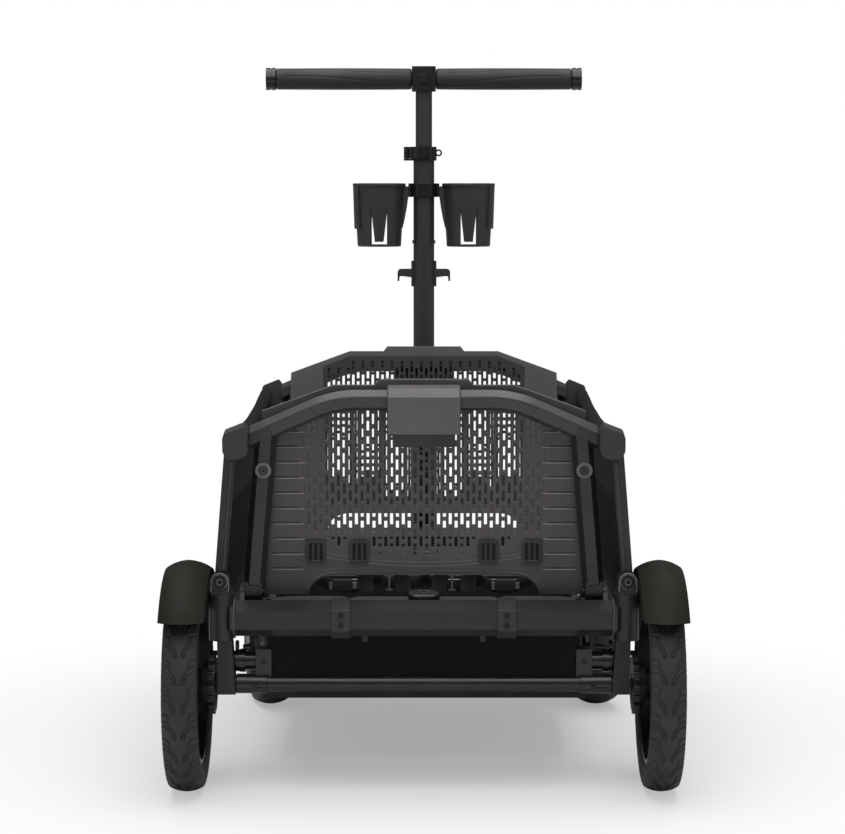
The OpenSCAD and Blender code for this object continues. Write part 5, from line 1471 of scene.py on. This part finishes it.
@dataclass
class SeatPad:
    """One seat pad: crowned, drawn in between its corners, with sewn channels and piping."""

    shop: Workshop
    name: str
    y: float
    length: float
    width: float = 0.465
    low: float = 0.222
    high: float = 0.240
    swell: float = 0.004
    channel: float = 0.005
    stitch: float = 0.0042
    draw: float = 0.006
    skim: float = 0.0002
    voxel: float = 0.005
    pressure: float = 4.0
    frames: int = 20
    steps: int = 64

    def build(self) -> None:
        """Makes the pad and its edge cord."""
        u = np.linspace(0, 1, self.steps + 1)
        uu, vv = np.meshgrid(u, u, indexing="ij")
        rise = np.sin(math.pi * uu) * np.sin(math.pi * vv)
        edge = 0.45 + 0.55 * np.sqrt(np.clip((1 - (2 * uu - 1) ** 10) * (1 - (2 * vv - 1) ** 6), 0, 1))
        height = self.high - self.low - self.swell
        top = self.low + height * edge * (0.90 + 0.10 * np.sqrt(np.clip(rise, 0, 1)))
        px = (uu - 0.5) * self.width - self.draw * np.sin(math.pi * vv) * (2 * uu - 1)
        py = (vv - 0.5) * self.length - self.draw * np.sin(math.pi * uu) * (2 * vv - 1)
        upper = np.stack([px, self.y + py, top], -1)
        lower = np.stack([px, self.y + py, np.full_like(px, self.low + self.skim)], -1)
        mesh = self._skin(upper, lower)
        mesh = self._swelled(mesh)
        self._sew(mesh)
        pad = self.shop.piece(self.name, mesh, Finishes.PAD, "chassis")
        fine = pad.modifiers.new("fine", "SUBSURF")
        fine.levels = fine.render_levels = 1
        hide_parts("seat_pads")
        self._cord(upper)

    def _swelled(self, mesh: bpy.types.Mesh) -> bpy.types.Mesh:
        """The pad after some frames of cloth under inner pressure, each point's move capped."""
        scene = bpy.context.scene
        form = bpy.data.objects.new("pad_form", mesh)
        scene.collection.objects.link(form)
        voxels = form.modifiers.new("voxels", "REMESH")
        voxels.mode = "VOXEL"
        voxels.voxel_size = self.voxel
        even = bpy.data.meshes.new_from_object(form.evaluated_get(bpy.context.evaluated_depsgraph_get()))
        bpy.data.objects.remove(form)
        cloth = bpy.data.objects.new("pad_cloth", even)
        scene.collection.objects.link(cloth)
        settings = cloth.modifiers.new("cloth", "CLOTH").settings
        settings.use_pressure = True
        settings.uniform_pressure_force = self.pressure
        settings.effector_weights.gravity = 0.0
        for frame in range(1, self.frames + 1):
            scene.frame_set(frame)
        moved = cloth.evaluated_get(bpy.context.evaluated_depsgraph_get()).data
        before, after = (np.array([v.co for v in m.vertices]) for m in (even, moved))
        scene.frame_set(1)
        bpy.data.objects.remove(cloth)
        step = after - before
        size = np.maximum(np.linalg.norm(step, axis=1), 1e-9)
        points = before + step * np.minimum(1, self.swell * 1.25 / size)[:, None]
        points[:, 2] = np.clip(points[:, 2], self.low + self.skim, self.high - self.skim)
        half_x, half_y = self.width / 2, self.length / 2
        points[:, 0] = np.clip(points[:, 0], -half_x, half_x)
        points[:, 1] = np.clip(points[:, 1], self.y - half_y, self.y + half_y)
        even.vertices.foreach_set("co", points.ravel())
        even.polygons.foreach_set("use_smooth", [True] * len(even.polygons))
        even.update()
        even.name = self.name
        return even

    def _sew(self, mesh: bpy.types.Mesh) -> None:
        """Draws the pad's upper side in along its three sewn channels."""
        points = np.array([v.co for v in mesh.vertices])
        x, y = points[:, 0], points[:, 1] - self.y
        seams = np.exp(-((y / self.channel) ** 2))
        for at in (-0.23, 0.23):
            seams = np.maximum(seams, 0.8 * np.exp(-(((x - at * self.width) / self.channel) ** 2)))
        inner = soft_step(0.0, 0.02, self.width / 2 - np.abs(x))
        inner = inner * soft_step(0.0, 0.02, self.length / 2 - np.abs(y))
        upper = points[:, 2] > (self.low + self.high) / 2
        points[:, 2] -= np.where(upper, self.stitch * seams * inner, 0.0)
        mesh.vertices.foreach_set("co", points.ravel())
        mesh.update()

    def _border(self) -> np.ndarray:
        """Numbers of the points round the pad's grid, in order."""
        n = self.steps + 1
        index = np.arange(n * n).reshape(n, n)
        return np.concatenate([index[:-1, 0], index[-1, :-1], index[:0:-1, -1], index[0, :0:-1]])

    def _skin(self, upper: np.ndarray, lower: np.ndarray) -> bpy.types.Mesh:
        """Closed mesh of an upper and a lower grid."""
        n = self.steps + 1
        far = n * n
        top = self.shop.quads(n, n)
        under = (np.array(top)[:, ::-1] + far).tolist()
        ring = self._border().tolist()
        sides = [(q, p, p + far, q + far) for p, q in zip(ring, ring[1:] + ring[:1])]
        return self.shop.mesh(self.name, np.stack([upper, lower]), top + under + sides)

    def _cord(self, upper: np.ndarray) -> None:
        """Piping sewn round the pad's edge."""
        ring = self._border()
        path = upper.reshape(-1, 3)[ring].copy()
        path[:, 2] = self.low + 0.0085
        middle = path.mean(0)
        path[:, :2] = middle[:2] + (path[:, :2] - middle[:2]) * 1.001
        path = np.vstack([path, path[:2]])
        mesh = self.shop.tube(self.name + "_piping", path, 0.0016, 10)
        self.shop.piece(self.name + "_piping", mesh, Finishes.WEB, "chassis")


@dataclass
class SeatHarness:
    """Lap webbing and buckle of one seat, laid on its pad."""

    shop: Workshop
    name: str
    y: float
    length: float
    flip: int
    top: float = 0.2404
    forward: float = 0.12
    splay: float = math.radians(32)
    strap_from: float = 0.021
    strap_len: float = 0.150
    fold_at: float = 0.128
    fold_len: float = 0.02
    fold_lift: float = 0.0022
    # Across and up, in millimetres, round a strap's section
    SECTION = ((-12.5, 0.3), (-11.6, 0.0), (11.6, 0.0), (12.5, 0.3), (12.5, 1.6), (11.6, 1.95),
               (0.0, 2.0), (-11.6, 1.95), (-12.5, 1.6))
    # Height in metres and share of the full outline, from the buckle's foot to its button
    LAYERS = ((0.0, 0.95), (0.0012, 1.0), (0.0075, 1.0), (0.0100, 0.96), (0.0114, 0.88), (0.0119, 0.74),
              (0.0119, 0.50), (0.0112, 0.47), (0.0112, 0.40), (0.0118, 0.36), (0.0119, 0.10))

    def build(self) -> None:
        """Makes the webbing and the buckle."""
        at = self.flip * self.forward * self.length
        meshes = []
        for side in Side:
            start = np.array([side.value * self.strap_from, at])
            way = np.array([side.value * math.cos(self.splay), -self.flip * math.sin(self.splay)])
            meshes.append(self._ribbon([start + way * t for t in np.linspace(0, self.strap_len, 40)]))
            fold = start + way * self.fold_at
            ends = [fold + way * t for t in np.linspace(0, self.fold_len, 8)]
            meshes.append(self._ribbon(ends, self.fold_lift))
        end = self.flip * (0.5 * self.length - 0.006)
        middle = np.linspace(at + self.flip * 0.026, end, 30)
        meshes.append(self._ribbon([np.array([0.0, y]) for y in middle]))
        web = self.shop.made(self.name + "_webbing", meshes, Finishes.WEB, "chassis")
        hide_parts("harness")
        self._buckle(at)

    def _ribbon(self, line: Sequence[np.ndarray], lift: float = 0.0) -> bpy.types.Mesh:
        """A flat strap 25 mm wide and 2 mm thick along a line on the pad."""
        path = np.array(line)
        way = unit(np.gradient(path, axis=0))
        across = np.stack([-way[:, 1], way[:, 0]], -1)
        wave = 0.0003 * np.sin(np.arange(len(path)) * 0.5)
        rows = []
        for a, z in self.SECTION:
            flat = path + across * a * MM
            rows.append(np.concatenate([flat, (self.top + lift + z * MM + wave)[:, None]], -1))
        points = np.array(rows)
        points[..., 1] += self.y
        return self.shop.grid("strap", points, wrap_u=True)

    def _buckle(self, at: float) -> None:
        """A rounded buckle with a sunk release button and side grips."""
        turn = np.linspace(0, math.tau, 72, endpoint=False)
        c, s = np.cos(turn), np.sin(turn)
        shape = (np.abs(c) ** 3.2 + np.abs(s) ** 3.2) ** (-1 / 3.2)
        waist = 1 - 0.05 * np.exp(-((s * 2.2) ** 2))
        rows = []
        for z, k in self.LAYERS:
            x = 0.0235 * k * c * shape * waist
            y = self.y + at + 0.0290 * k * s * shape
            rows.append(np.stack([x, y, np.full_like(x, self.top + z)], -1))
        mesh = self.shop.capped(self.name + "_buckle", np.array(rows), -1)
        self.shop.piece(self.name + "_buckle", mesh, Finishes.BLACK, "chassis")


@dataclass
class ArchTube:
    """One end wall's hexagonal arch tube, swept smoothly round its two bends."""

    shop: Workshop
    wall: "WallTrim"
    arch_w: float = 272.0
    corner_x: float = 120.88
    seam_x: float = 208.5
    slope: float = math.radians(24)
    bend: float = 140.0
    side: float = 15.0
    edge: float = 1.5

    def build(self) -> None:
        """Makes the tube in place of the CAD one."""
        name = f"{self.wall.word}_arch_sweep"
        path, normal = self._path()
        rows = []
        for a, b in self._section():
            line = path + b * normal
            rows.append(np.stack([line[:, 0], np.full(len(path), a), line[:, 1]], -1))
        points = self.wall.place(np.array(rows))
        mesh = self.shop.grid(name, points if self.wall.front else points[::-1], wrap_u=True)
        tube = self.shop.piece(name, mesh, Finishes.ARCH, f"{self.wall.word}_wall")
        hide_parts(f"{self.wall.word}_arch_tube")

    def _path(self) -> tuple[np.ndarray, np.ndarray]:
        """The tube's line across the wall, and the line's upward normals."""
        reach = self.bend * math.tan(self.slope / 2)
        start = self.corner_x - reach
        turn = np.linspace(0, self.slope, 26)
        arc = np.stack([start + self.bend * np.sin(turn),
                        self.arch_w - self.bend * (1 - np.cos(turn))], -1)
        run = np.linspace(0, (self.seam_x - arc[-1, 0]) / math.cos(self.slope), 12)[1:]
        way = np.array([math.cos(self.slope), -math.sin(self.slope)])
        right = np.concatenate([arc, arc[-1] + run[:, None] * way])
        tilt = np.concatenate([turn, np.full(len(run), self.slope)])
        up = np.stack([np.sin(tilt), np.cos(tilt)], -1)
        flip = np.array([-1, 1])
        return np.concatenate([right[::-1] * flip, right]), np.concatenate([up[::-1] * flip, up])

    def _section(self) -> list[tuple[float, float]]:
        """The hexagon's outline, each corner eased, each flat held flat."""
        out = []
        turn = np.radians(30 + 60 * np.arange(6))
        corners = self.side * np.stack([np.cos(turn), np.sin(turn)], -1)
        for k, corner in enumerate(corners):
            back = (corners[k - 1] - corner) / self.side
            on = (corners[(k + 1) % 6] - corner) / self.side
            for step in (back * 2 * self.edge, back * self.edge, (back + on) * 0.27 * self.edge,
                         on * self.edge, on * 2 * self.edge):
                out.append(tuple(corner + step))
        return out


@dataclass
class WallTrim:
    """What one end wall carries: strap guides, bolt heads, pale raised lines painted as the panel's
    highlights, and strap ends.
    """

    shop: Workshop
    front: bool
    face: float = 12.99
    guides: tuple[float, ...] = (-149.5, -89.0, 89.0, 149.5)
    guide_w: float = 55.0
    bolt_x: float = 218.89
    bolt_w: float = 177.0
    rib_low: float = 29.0
    rib_rise: float = 21.8
    rib_count: int = 10
    rib_in: float = 166.0
    rib_out: float = 213.0
    arch_x: float = 124.0
    arch_low: float = -10.0
    arch_rx: float = 36.0
    arch_rz: float = 30.0
    bow_half: float = 138.0
    bow_low: float = 38.5
    bow_rise: float = 13.5
    # Foot and lean of each hanging strap, ends and sag of each slung one, middles of buckles and slides
    TAILS = ((-33, 5), (26, -6), (-84, 4), (66, -5))
    LOOPS = ((-152, -60, 15), (-70, 10, 11), (-6, 82, 13), (70, 152, 16))
    BUCKLES = (-113, 113)
    SLIDES = (-48, 39)
    # Inset and depth of a guide's rim, and offset and depth of its bars
    RIM = ((0.0, 13.1), (-0.15, 9.6), (0.25, 8.7), (0.9, 8.45), (3.0, 8.45), (3.7, 8.8),
           (4.05, 9.6), (4.05, 12.8))
    BAR = ((-1.6, 12.8), (-1.6, 9.6), (-1.1, 8.85), (1.1, 8.85), (1.6, 9.6), (1.6, 12.8))
    HEAD = ((6.15, 14.4), (6.15, 17.3), (5.6, 17.9), (3.5, 18.0), (3.2, 16.4), (0.05, 16.4), (0.05, 14.4))

    @property
    def word(self) -> str:
        """Which end this wall is at."""
        return "front" if self.front else "rear"

    def place(self, local: np.ndarray) -> np.ndarray:
        """Points of the wall's own plane, in millimetres, as row points."""
        x, y, w = local[..., 0], local[..., 1], local[..., 2]
        c, s = math.cos(WALL_LEAN), math.sin(WALL_LEAN)
        row_y = REAR_Y + HINGE_IN + (y * c - w * s) * MM
        if self.front:
            row_y = 2 * MID_Y - row_y
        return np.stack([x * MM, row_y, HINGE_Z + (y * s + w * c) * MM], -1)

    def build(self) -> None:
        """Makes the guides, their webbing, the bolt heads and the pale raised lines that paint highlights
        on the panel.
        """
        self._add("strap_guides", [mesh for x in self.guides for mesh in self._guide(x)], Finishes.BLACK)
        self._add("guide_webbing", [self._backing(x) for x in self.guides], Finishes.WEB_WALL)
        heads = [self.shop.turned("head", self.HEAD, self._bolt(side), 36) for side in Side]
        self._add("bolt_heads", heads, Finishes.BLACK_STEEL, hard=True)
        # Pale lines under the grooves paint the highlights on their lips.
        rib_highlights = [self._line(rib, 0.85) for side in Side for rib in self._ribs(side)]
        self._add("panel_ribs", rib_highlights, Finishes.RIB)
        if not self.front:
            self._tails()
        # Pale lines round the arch and along the bow paint their edge highlights.
        lines = [self._line(self._arch_line(4.0), 0.9), self._line(self._arch_line(9.0), 0.6),
                 self._line(self._bow_line(0.0), 0.6), self._line(self._bow_line(-5.5), 0.8)]
        self._add("panel_lines", lines, Finishes.LINE)

    def _add(self, part: str, meshes: list[bpy.types.Mesh], finish: Finish, hard: bool = False) -> None:
        """Makes one piece of this wall."""
        self.shop.made(f"{self.word}_{part}", meshes, finish, f"{self.word}_wall", hard)

    def _bolt(self, side: Side) -> Callable:
        """Where a turned bolt head's own points lie on one upright."""
        def put(a: np.ndarray, b: np.ndarray, h: np.ndarray) -> np.ndarray:
            """Row points of across, along and out."""
            return self.place(np.stack([side.value * self.bolt_x + a, -h, self.bolt_w + b], -1))
        return put

    def _ribs(self, side: Side) -> list[np.ndarray]:
        """Paths of painted highlight lines under the panel's grooves, from the grille's seam to the
        upright.
        """
        out = []
        for i in range(self.rib_count):
            w = self.rib_low + i * self.rib_rise - 0.9
            inner, outer = self.rib_in - 0.02 * w, self.rib_out - 0.03 * w
            out.append(np.stack([side.value * np.linspace(inner, outer, 6), np.full(6, w)], -1))
        return out

    def _tails(self) -> None:
        """Harness straps that hang behind the arched opening, with their slides."""
        straps, clips, blocks = [], [], []
        for x, lean in self.TAILS:
            w = np.linspace(-5, 27, 16)
            y = 17.0 + 3.0 * np.sin(math.pi * (w + 5) / 32)
            straps.append(self._strap(np.stack([x + lean * (27 - w) / 32, y, w], -1), 10.5))
        for x0, x1, sag in self.LOOPS:
            t = np.linspace(0, 1, 24)
            path = np.stack([x0 + (x1 - x0) * t, 24.0 + 0 * t, 14 - sag * np.sin(math.pi * t)], -1)
            straps.append(self._strap(path, 8.0))
        for x in self.BUCKLES:
            blocks.append(self._block((x - 13, x + 13), (18.5, 25.5), (-5, 11)))
            clips.append(self._block((x - 19, x - 14), (19.5, 23.0), (-3, 7)))
            clips.append(self._block((x + 14, x + 20), (19.5, 23.0), (-2, 7)))
        for x in self.SLIDES:
            clips.append(self._block((x - 1.3, x + 1.3), (20.0, 22.5), (-5, 15)))
            clips.append(self._block((x - 5.0, x + 5.0), (20.4, 22.3), (-5, -2.6)))
        self._add("strap_buckles", blocks, Finishes.BLACK, hard=True)
        self._add("strap_tails", straps, Finishes.WEB_WALL)
        self._add("strap_slides", clips, Finishes.CLIP, hard=True)

    def _strap(self, path: np.ndarray, half: float) -> bpy.types.Mesh:
        """A thin strap along a path of the wall, flat to it."""
        way = np.gradient(path, axis=0)
        across = unit(np.stack([-way[:, 2], 0 * way[:, 1], way[:, 0]], -1))
        section = ((-1.0, 0.0), (1.0, 0.0), (1.0, 1.5), (-1.0, 1.5))
        rows = [path + across * a * half + np.array([0.0, y, 0.0]) for a, y in section]
        return self.shop.grid("strap", self.place(np.array(rows)), wrap_u=True)

    def _block(self, x: tuple, y: tuple, w: tuple) -> bpy.types.Mesh:
        """A small block of the wall, given by its spans."""
        flat = np.array([(x[0], w[0]), (x[1], w[0]), (x[1], w[1]), (x[0], w[1])], float)
        ends = [self.place(np.stack([flat[:, 0], np.full(4, d), flat[:, 1]], -1)) for d in y]
        return self.shop.prism("block", *ends)

    def _guide(self, x: float) -> list[bpy.types.Mesh]:
        """One strap guide: a rounded rim with two upright bars."""
        turn = np.linspace(0, math.tau, 64, endpoint=False)
        c, s = np.cos(turn), np.sin(turn)
        round_off = (np.abs(c) ** 7 + np.abs(s) ** 7) ** (-1 / 7)
        rows = []
        for inset, y in self.RIM:
            rows.append(np.stack([x + (13.55 - inset) * c * round_off, np.full_like(c, y),
                                  self.guide_w + (16.05 - inset) * s * round_off], -1))
        meshes = [self.shop.grid("rim", self._faced(np.array(rows)), wrap_v=True)]
        w = np.linspace(-12.6, 12.6, 12)
        for off in (-3.67, 3.67):
            bar = [np.stack([np.full_like(w, x + off + a), np.full_like(w, y), self.guide_w + w], -1)
                   for a, y in self.BAR]
            meshes.append(self.shop.grid("bar", self._faced(np.array(bar))[::-1]))
        return meshes

    def _backing(self, x: float) -> bpy.types.Mesh:
        """The webbing that runs behind a guide's bars."""
        a = np.linspace(-9.2, 9.2, 14)
        rows = [np.stack([x + a, 12.2 + 0.25 * np.cos(a), np.full_like(a, self.guide_w + w)], -1)
                for w in np.linspace(-11.8, 11.8, 10)]
        return self.shop.grid("webbing", self._faced(np.array(rows))[::-1])

    def _faced(self, local: np.ndarray) -> np.ndarray:
        """Row points of a grid, turned so that its faces look outwards."""
        points = self.place(local)
        return points[:, ::-1] if self.front else points

    def _line(self, flat: np.ndarray, radius: float) -> bpy.types.Mesh:
        """A thin raised line on the panel's outer face, pale so that it paints a highlight."""
        local = np.stack([flat[:, 0], np.full(len(flat), self.face), flat[:, 1]], -1)
        return self.shop.tube("line", self.place(local), radius * MM, 10)

    def _arch_line(self, off: float) -> np.ndarray:
        """The path of a painted highlight line round the arched opening, that far outside it."""
        turn = np.radians(np.linspace(12, 90, 26))
        right = np.stack([self.arch_x + (self.arch_rx + off) * np.cos(turn),
                          self.arch_low + (self.arch_rz + off) * np.sin(turn)], -1)
        left = right[::-1] * np.array([-1, 1])
        return np.concatenate([right, left])

    def _bow_line(self, off: float) -> np.ndarray:
        """The path of the painted highlight line bowed under the slots, raised by that much."""
        x = np.linspace(-self.bow_half, self.bow_half, 80)
        return np.stack([x, self.bow_low + off + self.bow_rise * (x / self.bow_half) ** 2], -1)


def main() -> None:
    """Builds the wagon's looks round the frame."""
    logging.basicConfig(level=logging.INFO, format="%(message)s")
    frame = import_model()
    shop = Workshop(frame)
    Studio().build()
    SolidDress(shop).build()
    rear_len = REAR_DECK - TUBE_FLAT - 2 * PAD_GAP
    front_len = FRAME_LEN - REAR_DECK - FOOTWELL_LEN - TUBE_FLAT - 2 * PAD_GAP
    rear_mid = REAR_Y + TUBE_FLAT + PAD_GAP + rear_len / 2
    front_mid = FRONT_Y - TUBE_FLAT - PAD_GAP - front_len / 2
    for whole in (WeldBeads, HandleGrips, HookSaddle, KnuckleTrim, AxleSleeve, FootwellSkirt):
        whole(shop).build()
    SeatPad(shop, "rear_seat_pad", rear_mid, rear_len).build()
    SeatPad(shop, "front_seat_pad", front_mid, front_len).build()
    SeatHarness(shop, "rear_lap", rear_mid, rear_len, 1).build()
    SeatHarness(shop, "front_lap", front_mid, front_len, -1).build()
    for front in (False, True):
        wall = WallTrim(shop, front)
        wall.build()
        ArchTube(shop, wall).build()
    for side in Side:
        for sided in (RearTyre, BrakeBarrels, CupHolder, SideFabric, PostPiping):
            sided(shop, side).build()


if __name__ == "__main__":
    main()
